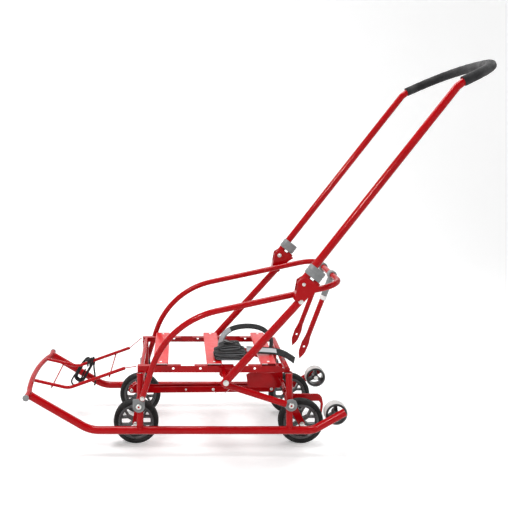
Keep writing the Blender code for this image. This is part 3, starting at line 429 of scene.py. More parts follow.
def webbing_material(name, dark, light, band=None):
    """Woven polyester: ribs across and threads along, from two crossed waves. band adds a pale stripe."""
    m = Nodes(name)
    ribs = m.add("ShaderNodeTexWave", {"Vector": m.coords, "Scale": 330.0, "Distortion": 0.6},
                 bands_direction="X")
    threads = m.add("ShaderNodeTexWave", {"Vector": m.coords, "Scale": 420.0, "Distortion": 0.5},
                    bands_direction="Y")
    weave = m.maths("MULTIPLY", ribs.outputs["Fac"], threads.outputs["Fac"])
    colour = m.mix(m.remap(weave, 0.0, 0.8), dark, light)
    colour = m.mix(m.remap(m.noise(30.0, 4.0), 0.4, 0.75, 0.0, 0.35), colour, light)
    if band:
        stripe = m.remap(m.maths("ABSOLUTE", m.maths("SUBTRACT", m.axis("Y"), band[0])), band[1],
                         band[1] + 0.0004, 1, 0)
        ahead = m.remap(m.axis("X"), 0.3785 - STATION, 0.3795 - STATION, 1, 0)
        colour = m.mix(m.maths("MULTIPLY", stripe, ahead), colour, (0.46, 0.48, 0.5))
    m.link("Base Color", colour)
    m.link("Roughness", m.remap(weave, 0.0, 1.0, 0.75, 0.55))
    m.link("Normal", m.bump(weave, 0.55, 0.0006))
    m.set(Specular_IOR_Level=0.3, Sheen_Weight=0.06, Sheen_Roughness=0.4)
    return m.material


def rope_material():
    """Braided black cord: diagonal strands from two slanting waves."""
    m = Nodes("cord_braid")
    strands = []
    for slant in (1.0, -1.0):
        turned = m.add("ShaderNodeMapping", {"Vector": m.coords,
                                             "Rotation": (0.6 * slant, 0.5, 0.785 * slant)})
        wave = m.add("ShaderNodeTexWave", {"Vector": turned.outputs[0], "Scale": 260.0, "Distortion": 0.4})
        strands.append(wave.outputs["Fac"])
    braid = m.maths("MAXIMUM", *strands)
    m.link("Base Color", m.mix(braid, (0.002, 0.002, 0.002), (0.012, 0.0125, 0.013)))
    m.link("Roughness", m.remap(m.noise(60.0, 3.0), 0.3, 0.7, 0.6, 0.85))
    m.link("Normal", m.bump(braid, 0.7, 0.0008))
    m.set(Specular_IOR_Level=0.25, Sheen_Weight=0.04, Sheen_Roughness=0.4)
    return m.material


PAINT = paint_material("red_coat")
RUNNER_PAINT = paint_material("red_coat_runner", worn_below=0.0565)
# The slats' base colour is brightened 1.75 times: a painted highlight for the light falling on their
# upturned tops, not a paler paint.
SLAT_PAINT_PAINTED_HIGHLIGHT = paint_material("red_coat_slat_painted_highlight", painted_highlight_gain=1.75, rough_low=0.34, rough_high=0.46, gloss=0.45)
GREY = plastic_material("grey_moulding", (0.125, 0.13, 0.132), (0.2, 0.206, 0.208), 0.36, 0.5)
DARK = plastic_material("rim_moulding", (0.028, 0.028, 0.029), (0.062, 0.062, 0.064), 0.24, 0.38)
BLACK = plastic_material("black_moulding", (0.006, 0.006, 0.006), (0.016, 0.016, 0.017), 0.26, 0.42)
PALE = plastic_material("pale_moulding", (0.62, 0.62, 0.61), (0.76, 0.76, 0.75), 0.3, 0.45)
ZINC = zinc_material()
TYRE = tyre_material("solid_tyre", (0.004, 0.004, 0.004), (0.016, 0.0155, 0.015))
TREAD = tyre_material("pale_tread", (0.46, 0.45, 0.44), (0.66, 0.65, 0.635))
FOAM = foam_material()
WEBBING = webbing_material("webbing", (0.003, 0.003, 0.003), (0.016, 0.0165, 0.018))
BANDED = webbing_material("webbing_banded", (0.004, 0.004, 0.004), (0.02, 0.021, 0.022),
                          band=(-0.066, 0.0062))
PIPING = webbing_material("webbing_edge", (0.1, 0.105, 0.11), (0.26, 0.27, 0.28))
SILVER = webbing_material("reflective_tape", (0.2, 0.21, 0.22), (0.42, 0.43, 0.45))
ROPE = rope_material()


# ---- cord ---------------------------------------------------------------------------------------
ROPE_R = 0.0025
ROPE_WIND_R = 0.01
WIND_TURNS = 3
HANK_TURNS = 4
STRAP_ROLL = radians(30)
ARCH_ROLL = radians(35)


def footrest_z(x):
    return 0.151 + (x + 0.204) * tan(radians(20.0))


def rope_points():
    """The tow rope: a tail, turns round the right footrest rail, a hank hanging from them, a loop."""
    route = [
        (-0.157, 0.106, 0.083),
        (-0.155, 0.108, 0.1),
        (-0.157, 0.11, 0.12),
        (-0.159, 0.108, 0.144),
        (-0.156, 0.103, 0.161),
    ]
    for k in range(WIND_TURNS * 8 + 1):
        angle = radians(35) + radians(45) * k
        x = -0.157 - 0.0066 * k / 8
        y = FOOTREST_Y + ROPE_WIND_R * cos(angle)
        route.append((x, y, footrest_z(x) + ROPE_WIND_R * sin(angle)))
    middle, down = Vector((-0.19, 0.129)), Vector((-0.495, -0.869))
    rearward = Vector((-down.y, down.x))
    oval = [(-0.034, 0), (-0.031, -0.0068), (-0.0255, -0.0085), (0, -0.0085), (0.0255, -0.0085),
            (0.031, -0.0068), (0.034, 0), (0.031, 0.0068), (0.0255, 0.0085), (0, 0.0085),
            (-0.0255, 0.0085), (-0.031, 0.0068)]
    for k in range(HANK_TURNS * len(oval) + 2):
        along, across = oval[k % len(oval)]
        spread = 1.45 + 0.2 * sin(0.4 * k)
        point = middle + down * along * (0.9 + 0.1 * spread) + rearward * across * spread
        route.append((point.x, 0.103 + 0.0056 * k / len(oval), point.y))
    route += [
        (-0.206, 0.129, 0.135),
        (-0.218, 0.1315, 0.113),
        (-0.229, 0.1325, 0.096),
        (-0.233, 0.133, 0.083),
        (-0.226, 0.1335, 0.0735),
        (-0.214, 0.1335, 0.0755),
        (-0.205, 0.134, 0.089),
        (-0.197, 0.134, 0.107),
        (-0.189, 0.1335, 0.125),
    ]
    return [at(*point) for point in route]


def make_rope():
    points = smooth_route(rope_points(), 420)
    data = bpy.data.curves.new("tow_rope_braid", "CURVE")
    data.dimensions = "3D"
    data.bevel_depth = ROPE_R
    data.bevel_resolution = 4
    data.use_fill_caps = True
    spline = data.splines.new("POLY")
    spline.points.add(len(points) - 1)
    for k, point in enumerate(points):
        spline.points[k].co = (*point, 1.0)
    data.materials.append(ROPE)
    rope = bpy.data.objects.new("tow_rope_braid", data)
    bpy.context.scene.collection.objects.link(rope)
    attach(rope, ROOT)
    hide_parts("tow_rope")


# ---- fasteners ----------------------------------------------------------------------------------
def add_bolt(bm, centre, side, radius=0.0062, height=0.0038):
    """A hexagon head or nut with its washer, pointing out along Y on that side, and the bolt's end."""
    y = 0.0009
    add_disc(bm, [(radius * 1.22, 0.0), (radius * 1.25, 0.0003), (radius * 1.22, y)], 24, centre, side)
    corners = []
    for k in range(6):
        corners.append((radius * cos(pi * k / 3), radius * sin(pi * k / 3)))
    low, high = sorted((side * y, side * (y + height)))
    add_prism(bm, corners, low, high, centre=centre, edge=0.0005)
    thread = radius * 0.52
    top = y + height + 0.0014
    add_disc(bm, [(thread, y), (thread, top - 0.0006), (thread * 0.7, top)], 16, centre, side)


def add_rivet(bm, centre, side, radius=0.0048, height=0.0022):
    """A domed rivet head."""
    profile = [(radius, 0.0), (radius * 0.97, height * 0.35), (radius * 0.8, height * 0.75),
               (radius * 0.45, height * 0.97), (radius * 0.1, height)]
    add_disc(bm, profile, 20, centre, side)


def add_bead(bm, centre, normal, radius, thick, steps=40):
    """A weld bead: a lumpy ring round a joint."""
    normal = Vector(normal).normalized()
    across = normal.orthogonal().normalized()
    other = normal.cross(across)
    rings = []
    for k in range(steps):
        angle = 2 * pi * k / steps
        outward = across * cos(angle) + other * sin(angle)
        lump = 1 + 0.22 * sin(angle * 17) + 0.12 * sin(angle * 5 + 1)
        ring = []
        for j in range(8):
            turn = 2 * pi * j / 8
            offset = outward * cos(turn) + normal * sin(turn)
            ring.append(bm.verts.new(Vector(centre) + outward * radius + offset * thick * lump))
        rings.append(ring)
    skin(bm, rings, closed=True)


# ---- frame --------------------------------------------------------------------------------------
def runner_points(side):
    y = side * RUNNER_Y
    nose_z = RUNNER_Z + (0.2935 - 0.1345) * tan(NOSE_RISE)
    tail_z = RUNNER_Z + (0.149 - 0.0633) * tan(TAIL_RISE)
    corners = [at(-0.2935, y, nose_z), at(-0.1345, y, RUNNER_Z), at(0.466, y, RUNNER_Z),
               at(0.5517, y, tail_z)]
    return rounded(corners, [0.09, 0.06])


def nose_direction():
    return Vector((-cos(NOSE_RISE), 0, sin(NOSE_RISE)))


def bow_point(y):
    tip = runner_points(LEFT)[0]
    ahead = nose_direction()
    reach = 0.014 * max(0.0, 1 - (y / 0.1495) ** 2)
    point = tip + ahead * (0.0078 + reach)
    return Vector((point.x, y, point.z))


def make_frame_tubes():
    for side in SIDES:
        name = side_name(side)
        tube("runner_tube_" + name, runner_points(side), 0.0105, ROOT, RUNNER_PAINT,
             ["runner_" + name], 28, ends="open")
        y = side * FOOTREST_Y
        rail = rounded([at(-0.2982, y, 0.1731), at(-0.204, y, 0.151),
                        at(-0.0458, y, footrest_z(-0.0458))], [0.045])
        scales = [1.0] * len(rail)
        rail.append(at(-0.0452, y, footrest_z(-0.0452)))
        rail.append(at(-0.012, side * 0.125, 0.2269))
        scales += [0.28, 0.28]
        tube("footrest_tube_" + name, rail, 0.0045, ROOT, PAINT, ["footrest_rail_" + name], 14,
             scales=scales)
        for place, station in (("front", 0.0), ("rear", REAR_LEG)):
            leg = [at(station, side * RUNNER_Y, 0.067), at(station, side * 0.1385, 0.2112)]
            tube("%s_leg_tube_%s" % (place, name), leg, 0.009, ROOT, PAINT,
                 ["%s_leg_%s" % (place, name)], 22)
        brace = [at(0.226, side * 0.1845, 0.199), at(0.3888, side * 0.1775, 0.1435)]
        tube("brace_tube_" + name, brace, 0.0085, ROOT, PAINT, ["brace_" + name], 20)
    bow = smooth_route([bow_point(y) for y in (-BOW_TIP_Y, -0.1495, -0.12, -0.08, -0.04, 0, 0.04, 0.08,
                                               0.12, 0.1495,
                                               BOW_TIP_Y)], 60)
    tube("nose_bow_tube", bow, 0.0075, ROOT, PAINT, ["nose_bow"], 20)
    half = [(0.005, 0.166, 0.1495), (0.0724, 0.172, 0.3648), (HOOP_BACK[0], 0.172, HOOP_BACK[1])]
    corners = [at(x, -y, z) for x, y, z in half] + [at(*point) for point in reversed(half)]
    route = rounded(corners, [0.234, 0.055, 0.055, 0.234])
    tube("hoop_tube", route, 0.008, ROOT, PAINT, ["hoop"], 24)


def make_welds():
    bm = bmesh.new()
    for side in SIDES:
        for station in (0.0, REAR_LEG):
            lean = Vector((0, -side * 0.1483, 1))
            add_bead(bm, at(station, side * 0.159, 0.0732), lean, 0.0092, 0.0014)
            add_bead(bm, at(station, side * 0.1386, 0.2106), lean, 0.009, 0.0012)
        tip = runner_points(side)[0]
        ahead = nose_direction()
        add_bead(bm, tip + ahead * 0.0006, ahead, 0.0098, 0.0013)
        add_bead(bm, at(0.2275, side * 0.184, 0.1985), (0.94, -side * 0.04, -0.33), 0.0084, 0.0012)
    for place in ("front", "rear"):
        low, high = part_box("footrest_rod_" + place)
        for y in (-FOOTREST_Y, FOOTREST_Y):
            centre = Vector(((low.x + high.x) / 2, y, (low.z + high.z) / 2 + 0.0012))
            add_bead(bm, centre, (0, 1, 0), 0.0016, 0.0011, 14)
    finish_mesh("weld_beads", bm, ROOT, PAINT)


def slat_outline(x, width, top, depth):
    """A pressed strip's outer and inner section, with rounded folds."""
    r, t = 0.003, 0.0015
    half = width / 2
    outer = [(x - half, top - depth)] + arc((x - half + r, top - r), r, pi, pi / 2, 5)
    outer += arc((x + half - r, top - r), r, pi / 2, 0, 5) + [(x + half, top - depth)]
    inner = [(x + half - t, top - depth)] + arc((x + half - r, top - r), r - t, 0, pi / 2, 5)
    inner += arc((x - half + r, top - r), r - t, pi / 2, pi, 5) + [(x - half + t, top - depth)]
    return outer + inner


def make_seat():
    for k, place in enumerate(("front", "middle", "rear")):
        bm = bmesh.new()
        x = SLAT_FIRST + k * SLAT_PITCH
        outline = slat_outline(x - STATION, 0.042, SEAT_TOP, 0.0093)
        rings = []
        for y in (-0.138, -0.069, 0.0, 0.069, 0.138):
            rings.append([bm.verts.new((a, y, b)) for a, b in outline])
        closed_skin(bm, rings)
        finish_mesh("slat_" + place, bm, ROOT, SLAT_PAINT_PAINTED_HIGHLIGHT, ["seat_slat_" + place])
    bm = bmesh.new()
    for k in range(3):
        x = SLAT_FIRST + k * SLAT_PITCH
        for y in (-0.1255, 0.1255):
            add_rivet_up(bm, at(x, y, SEAT_TOP))
    finish_mesh("slat_rivets", bm, ROOT, ZINC)


def add_rivet_up(bm, centre, radius=0.0042, height=0.0012):
    rings = []
    for size, z in ((1.0, 0.0), (0.95, 0.4), (0.7, 0.85), (0.2, 1.0)):
        wide = radius * size
        rings.append([bm.verts.new(centre + Vector((wide * a, wide * b,
                                                    height * z))) for a, b in circle(18)])
    closed_skin(bm, rings)


def make_plugs():
    """Grey plastic plugs in the nose bow's ends."""
    bm = bmesh.new()
    for side in SIDES:
        end = bow_point(side * BOW_TIP_Y)
        add_disc(bm, [(0.0074, -0.001), (0.0086, -0.0006), (0.0088, 0.0012), (0.0078, 0.0028),
                      (0.004, 0.0038),
                      (0.001, 0.004)], 24, end, side)
    finish_mesh("bow_plugs", bm, ROOT, GREY)


# ---- handle -------------------------------------------------------------------------------------
def bow_points():
    bend_x, bend_z = along_top(0.64, -0.004)
    points = []
    for k in range(61):
        phase = pi * k / 60
        reach = 0.145 * abs(sin(phase)) ** (2 / 2.4)
        across = copysign(abs(cos(phase)) ** (2 / 2.4), -cos(phase))
        points.append(at(bend_x + reach * cos(radians(25)), across * HANDLE_Y,
                         bend_z + reach * sin(radians(25))))
    return points


def make_handle():
    for side in SIDES:
        y = side * HANDLE_Y
        name = side_name(side)
        angle = radians(48.4)
        start, end = (at(HANDLE_LOW[0] + reach * cos(angle), y, HANDLE_LOW[1] + reach * sin(angle))
                      for reach in (-0.012, 0.3525))
        bm = bmesh.new()
        add_tube(bm, [start, end], HANDLE_R, 24, ends="open")
        spacer = [at(HOOP_BOLT[0], side * reach, HOOP_BOLT[1]) for reach in (0.1803, 0.2)]
        add_tube(bm, spacer, 0.006, 16)
        finish_mesh("lower_tube_" + name, bm, ROOT, PAINT, ["handle_lower_" + name])
    foot_x, foot_z = along_top(-0.008, -0.004)
    bow = bow_points()
    route = [at(foot_x, -HANDLE_Y, foot_z), *bow[1:-1], at(foot_x, HANDLE_Y, foot_z)]
    bend_x, bend_z = along_top(0.628, -0.004)
    route = [route[0], at(bend_x, -HANDLE_Y, bend_z), *route[1:-1], at(bend_x, HANDLE_Y, bend_z), route[-1]]
    tube("upper_tube", route, HANDLE_R, "handle", PAINT, ["handle_upper"], 24)
    make_grip(bow)


def make_grip(bow):
    """A foam sleeve pulled over the bow: soft ripples where it is bent, and rolled ends."""
    route = [bow[0].lerp(bow[1], 0.6), *bow[1:-1], bow[-1].lerp(bow[-2], 0.6)]
    bm = bmesh.new()
    frames = frames_along(route)
    sides = 28
    rings = []

    def ring(k, radius, ahead=0.0):
        tangent, normal, other = frames[k]
        loop = []
        for j in range(sides):
            angle = 2 * pi * j / sides
            ripple = 0.00022 * sin(k * 1.7 + cos(angle) * 1.3) + 0.00012 * sin(k * 3.9 + angle)
            offset = normal * cos(angle) + other * sin(angle)
            loop.append(bm.verts.new(route[k] + tangent * ahead + offset * (radius + ripple)))
        return loop

    last = len(route) - 1
    rings.append(ring(0, 0.0103, 0.0012))
    rings.append(ring(0, 0.0116, 0.0))
    rings.append(ring(0, 0.013, 0.0008))
    rings.append(ring(0, 0.0133, 0.0026))
    rings += [ring(k, 0.0132) for k in range(1, last)]
    rings.append(ring(last, 0.0133, -0.0026))
    rings.append(ring(last, 0.013, -0.0008))
    rings.append(ring(last, 0.0116, 0.0))
    rings.append(ring(last, 0.0103, -0.0012))
    skin(bm, rings)
    grip = finish_mesh("grip_sleeve", bm, "handle", FOAM, ["handle_grip"])


def make_locks():
    """The grey sleeves that lock the handle, with ribs, a groove and a rounded rim."""
    for side in SIDES:
        y = side * HANDLE_Y
        centre = along_top(0.0263 + 0.014, (-0.0165 + 0.032) / 2)
        bm = bmesh.new()
        levels = [(-0.5, 0.9), (-0.47, 0.95), (-0.4, 0.965), (-0.36, 1.0), (-0.04, 1.0), (-0.02, 0.955),
                  (0.02, 0.955),
                  (0.04, 1.0), (0.38, 1.0), (0.45, 0.97), (0.5, 0.88)]
        half, round_r = 0.02425 - 0.0135, 0.0135
        outline = arc((half, 0), round_r, -pi / 2, pi / 2, 12)
        outline += arc((-half, 0), round_r, pi / 2, 3 * pi / 2, 12)
        rings = []
        for level, size in levels:
            ring = []
            for k, (a, b) in enumerate(outline):
                rib = 0.985 if k % 2 and -0.3 < level < 0.35 and size == 1.0 else 1.0
                a_, b_ = a * size, b * size * rib
                x = centre[0] + a_ * sin(TOP_ANGLE) + level * 0.028 * cos(TOP_ANGLE)
                z = centre[1] - a_ * cos(TOP_ANGLE) + level * 0.028 * sin(TOP_ANGLE)
                ring.append(bm.verts.new(at(x, y + b_, z)))
            rings.append(ring)
        closed_skin(bm, rings)
        finish_mesh("lock_" + side_name(side), bm, "sleeve_" + side_name(side), GREY,
                    ["locking_sleeve_" + side_name(side)])


def make_fasteners():
    bm = bmesh.new()
    for side in SIDES:
        add_bolt(bm, at(HANDLE_LOW[0], side * 0.215, HANDLE_LOW[1]), side)
        add_bolt(bm, at(HOOP_BOLT[0], side * 0.215, HOOP_BOLT[1]), side, 0.0058)
        add_bolt(bm, at(0.007, side * 0.1742, 0.156), side, 0.005, 0.003)
        add_rivet(bm, at(RIVET[0], side * 0.218, RIVET[1]), side, 0.0048, 0.0022)
        add_bolt(bm, at(RIVET[0], side * 0.192, RIVET[1]), -side, 0.0052, 0.003)
        for shaft in (FRONT_SHAFT, REAR_SHAFT):
            add_disc(bm, [(0.005, -0.002), (0.0072, -0.0018), (0.0074, 0.0008), (0.006, 0.0018),
                          (0.003, 0.0012),
                          (0.0028, -0.0004)], 22, at(shaft[0], side * 0.1698, shaft[1]), side)
    finish_mesh("frame_bolts", bm, ROOT, ZINC)


# ---- bearings and wheel lift --------------------------------------------------------------------
def make_bearings():
    for side in SIDES:
        for place, shaft in (("front", FRONT_SHAFT), ("rear", REAR_SHAFT)):
            bm = bmesh.new()
            centre = at(shaft[0], 0, shaft[1])
            near, far = BEARING_IN, BEARING_OUT
            profile = [(0.0056, near), (0.016, near), (0.0166, near + 0.0006), (0.0166, far - 0.0012),
                       (0.0158, far - 0.0003), (0.0118, far), (0.0112, far - 0.0008), (0.009, far - 0.0008),
                       (0.0084, far + 0.0002), (0.0056, far + 0.0002)]
            add_lathe(bm, [(r, y * side) for r, y in profile], 40, centre)
            ear = [(-0.0164, 0.002), (-0.016, 0.018), (-0.014, 0.0205), (0.014, 0.0205), (0.016, 0.018),
                   (0.0164, 0.002), (0.0125, -0.011), (-0.0125, -0.011)]
            if place == "rear":
                ear = [(-0.012, 0.011), (-0.0225, 0.01), (-0.024, 0.006), (-0.0225, -0.001),
                       (-0.014, -0.009),
                       (0.01, -0.008), (0.01, 0.008)]
            low, high = sorted((side * near, side * (far - 0.0012)))
            add_prism(bm, ear, low, high, centre=centre, edge=0.0006)
            name = "shaft_bush_%s_%s" % (place, side_name(side))
            finish_mesh(name, bm, ROOT, GREY, ["bearing_%s_%s" % (place, side_name(side))])
            axle = FRONT_AXLE if place == "front" else REAR_AXLE
            caps = bmesh.new()
            end = at(axle[0], side * 0.1222, axle[1])
            add_disc(caps, [(0.004, -0.001), (0.0062, -0.0008), (0.0064, 0.0008), (0.005, 0.002),
                            (0.002, 0.0024)],
                     20, end, side)
            finish_mesh("axle_cap_%s_%s" % (place, side_name(side)), caps, place + "_lift", ZINC)


def crank_pin(place, shaft):
    """The two heads of the pin that joins a crank to the link."""
    bm = bmesh.new()
    x = shaft[0] + CRANK * cos(CRANK_ANGLE)
    z = shaft[1] + CRANK * sin(CRANK_ANGLE)
    for side in SIDES:
        add_rivet(bm, at(x, side * 0.0118, z), side, 0.0046, 0.0016)
    finish_mesh("crank_pin_" + place, bm, place + "_lift", ZINC)


def make_link_hardware():
    crank_pin("front", FRONT_SHAFT)
    bm = bmesh.new()
    for side in SIDES:
        add_rivet(bm, at(0.2046, side * 0.0105, 0.1165), side, 0.0046, 0.0018)
        add_rivet(bm, at(0.125, side * 0.0105, 0.116), side, 0.003, 0.0012)
    finish_mesh("link_rivets", bm, "link", ZINC)
    wire = smooth_route([at(0.2046, -0.014, 0.115), at(0.214, -0.015, 0.106), at(0.227, -0.016, 0.103),
                         at(0.24, -0.017, 0.109), at(0.256, -0.0175, 0.123), at(0.268, -0.017, 0.129)], 32)
    tube("link_clip_wire", wire, 0.0007, "link", ZINC, (), 8)
    crank_pin("rear", REAR_SHAFT)


def make_spring():
    route = [at(0.3875, -0.079, 0.176), at(0.396, -0.079, 0.148)]
    steps, turns = 24, 5
    for k in range(turns * steps + 1):
        angle = radians(150) - 2 * pi * k / steps
        route.append(at(REAR_SHAFT[0] + 0.0078 * cos(angle), -0.079 + 0.015 * k / (turns * steps),
                        REAR_SHAFT[1] + 0.0078 * sin(angle)))
    route += [at(0.3935, -0.064, 0.156), at(0.385, -0.064, 0.173)]
    tube("return_spring", route, 0.0012, ROOT, PAINT, ["lift_spring"], 10)


# ---- wheels -------------------------------------------------------------------------------------
def tyre_profile():
    """Half-round solid tyre with three grooves round the tread and a bead line on each wall."""
    half = [
        (0.05, 0.0108), (0.053, 0.0128), (0.055, 0.0136), (0.0556, 0.0133), (0.0562, 0.0137), (0.0582,
                                                                                               0.0134),
        (0.06, 0.0124), (0.0614, 0.0106), (0.0621, 0.0086), (0.0612, 0.0078), (0.0612, 0.007), (0.0624,
                                                                                                0.0062),
        (0.0625, 0.0014), (0.0615, 0.0008),
    ]
    return mirrored(half)


def rim_profile():
    half = [(0.043, 0.006), (0.0432, 0.0104), (0.044, 0.0112), (0.0478, 0.0112), (0.0492, 0.0106),
            (0.0498, 0.0098)]
    return mirrored(half)


def add_y_spoke(bm, turn, centre, reach, hub, half, width):
    """A spoke that forks into two before the rim."""
    fork = hub + (reach - hub) * 0.42
    stem = [(hub - 0.0015, -width), (fork, -width * 0.8), (fork, width * 0.8), (hub - 0.0015, width)]
    add_prism(bm, stem, -half, half, turn, centre, 0.0006)
    for way in (-1, 1):
        spread = reach * sin(radians(17)) * way
        out = reach * cos(radians(17))
        arm = [(fork - 0.002, -width * 0.75), (out + 0.001, spread - width * 0.62),
               (out + 0.001, spread + width * 0.62),
               (fork - 0.002, width * 0.75)]
        add_prism(bm, arm, -half * 0.86, half * 0.86, turn, centre, 0.0005)


def make_big_wheels():
    for place, axle in (("front", FRONT_AXLE), ("rear", REAR_AXLE)):
        for side in SIDES:
            name = "%s_%s" % (place, side_name(side))
            body = "wheel_" + name
            centre = at(axle[0], side * WHEEL_Y, axle[1])
            bm = bmesh.new()
            add_lathe(bm, tyre_profile(), 72, centre)
            finish_mesh("solid_tyre_" + name, bm, body, TYRE, ["tyre_" + name], angle=50)
            bm = bmesh.new()
            add_lathe(bm, rim_profile(), 64, centre)
            hub = [(0.0043, -0.0105), (0.01, -0.0105), (0.0115, -0.0095), (0.012, -0.006), (0.012, 0.006),
                   (0.0115, 0.0095), (0.01, 0.0105), (0.0043, 0.0105)]
            add_lathe(bm, hub, 32, centre)
            for k in range(6):
                add_y_spoke(bm, pi * k / 3 + 0.5, centre, 0.0435, 0.0115, 0.0068, 0.0046)
            add_lathe(bm, [(0.04, -0.0016), (0.0434, -0.0016), (0.0434, 0.0016), (0.04, 0.0016)], 64,
                      centre)
            finish_mesh("spoked_rim_" + name, bm, body, DARK, ["rim_" + name])


def make_tail_wheels():
    z = RUNNER_Z + (0.5315 - 0.466) * tan(TAIL_RISE)
    for side in SIDES:
        name = side_name(side)
        body = "tail_wheel_" + name
        centre = at(0.5315, side * TAIL_WHEEL_Y, z)
        bm = bmesh.new()
        half = [(0.026, 0.0112), (0.0292, 0.012), (0.0303, 0.0114), (0.0309, 0.01), (0.031, 0.008),
                (0.031, 0.0016), (0.0304, 0.0008)]
        profile = mirrored(half)
        add_lathe(bm, profile, 56, centre)
        finish_mesh("tail_tread_" + name, bm, body, TREAD, angle=50)
        bm = bmesh.new()
        half = [(0.0225, 0.005), (0.0228, 0.0118), (0.0238, 0.0128), (0.0282, 0.0128), (0.0291, 0.0121),
                (0.0284, 0.0104)]
        profile = mirrored(half)
        add_lathe(bm, profile, 48, centre)
        hub = [(0.0043, -0.0128), (0.0078, -0.0128), (0.009, -0.0116), (0.009, 0.0116), (0.0078, 0.0128),
               (0.0043, 0.0128)]
        add_lathe(bm, hub, 28, centre)
        for k in range(3):
            stem = [(0.008, -0.0046), (0.0235, -0.003), (0.0235, 0.003), (0.008, 0.0046)]
            add_prism(bm, stem, -0.0082, 0.0082, 2 * pi * k / 3 + radians(-90), centre, 0.0006)
        finish_mesh("tail_hub_" + name, bm, body, BLACK, ["small_wheel_" + name])


# ---- backrest struts ----------------------------------------------------------------------------
def make_struts():
    lean = radians(20)
    down = Vector((-sin(lean), 0, -cos(lean)))
    forward = Vector((-cos(lean), 0, sin(lean)))
    for side in SIDES:
        name = side_name(side)
        pivot = at(HOOP_BACK[0], side * 0.0575, HOOP_BACK[1])
        sections = [(0.0095, 7.0, 7.0), (0.18, 7.0, 7.0), (0.186, 7.2, 6.6), (0.196, 8.8, 4.4),
                    (0.205, 10.3, 3.0),
                    (0.21, 10.5, 2.9), (0.233, 9.6, 2.9), (0.241, 7.4, 2.9), (0.249, 3.8, 2.9), (0.253,
                                                                                                 1.6, 2.5),
                    (0.2548, 0.8, 1.6)]
        bm = bmesh.new()
        rings = []
        for distance, wide, thick in sections:
            ring = []
            for a, b in circle(24):
                offset = forward * wide * a + Vector((0, 1, 0)) * thick * b
                ring.append(bm.verts.new(pivot + down * distance + offset * 0.001))
            rings.append(ring)
        closed_skin(bm, rings)
        strut = finish_mesh("strut_bar_" + name, bm, "strut_" + name, PAINT, ["back_strut_" + name])
        eye = pivot + down * 0.2185
        cutter = bmesh.new()
        add_disc(cutter, [(0.0034, -0.012), (0.0034, 0.012)], 20, eye)
        bmesh.ops.recalc_face_normals(cutter, faces=cutter.faces)
        mesh = bpy.data.meshes.new("eye")
        cutter.to_mesh(mesh)
        cutter.free()
        tool = bpy.data.objects.new("eye_" + name, mesh)
        bpy.context.scene.collection.objects.link(tool)
        modifier = strut.modifiers.new("eye", "BOOLEAN")
        modifier.operation = "DIFFERENCE"
        modifier.object = tool
        apply_modifiers(strut)
        bpy.data.objects.remove(tool)

        clamp = bmesh.new()
        y = pivot.y
        profile = [(0.0082, y - 0.011), (0.0116, y - 0.011), (0.0124, y - 0.01), (0.0124, y + 0.01),
                   (0.0116, y + 0.011), (0.0082, y + 0.011)]
        add_lathe(clamp, profile, 32, Vector((pivot.x, 0, pivot.z)))
        add_tube(clamp, [pivot + down * 0.009, pivot + down * 0.065], 0.0084, 28)
        finish_mesh("strut_clamp_" + name, clamp, "strut_" + name, GREY)
        collar = bmesh.new()
        add_tube(collar, [pivot + down * 0.063, pivot + down * 0.074], 0.0096, 28)
        finish_mesh("strut_collar_" + name, collar, "strut_" + name, PALE)


def apply_modifiers(obj):
    graph = bpy.context.evaluated_depsgraph_get()
    mesh = bpy.data.meshes.new_from_object(obj.evaluated_get(graph))
    obj.modifiers.clear()
    obj.data = mesh


# ---- harness ------------------------------------------------------------------------------------
def band(name, route, half_width, half_thick, material, replaces=(), roll=0.0):
    """A flat woven band with rounded edges. Its width lies along Y, turned by roll about its length."""
    route = [Vector(point) for point in route]
    bm = bmesh.new()
    section = []
    for a, b in ((-1, -0.35), (-0.94, -1), (-0.5, -1), (0, -1), (0.5, -1), (0.94, -1), (1, -0.35),
                 (1, 0.35),
                 (0.94, 1), (0.5, 1), (0, 1), (-0.5, 1), (-0.94, 1), (-1, 0.35)):
        section.append((a * half_width, b * half_thick))
    rings = []
    for k, point in enumerate(route):
        before, after = route[max(k - 1, 0)], route[min(k + 1, len(route) - 1)]
        along = (after - before).normalized()
        outward = Vector((-along.z, 0, along.x)).normalized()
        across = Vector((0, cos(roll), 0)) + outward * sin(roll)
        up = outward * cos(roll) - Vector((0, sin(roll), 0))
        rings.append([bm.verts.new(point + across * a + up * b) for a, b in section])
    closed_skin(bm, rings)
    return finish_mesh(name, bm, ROOT, material, replaces, angle=50)


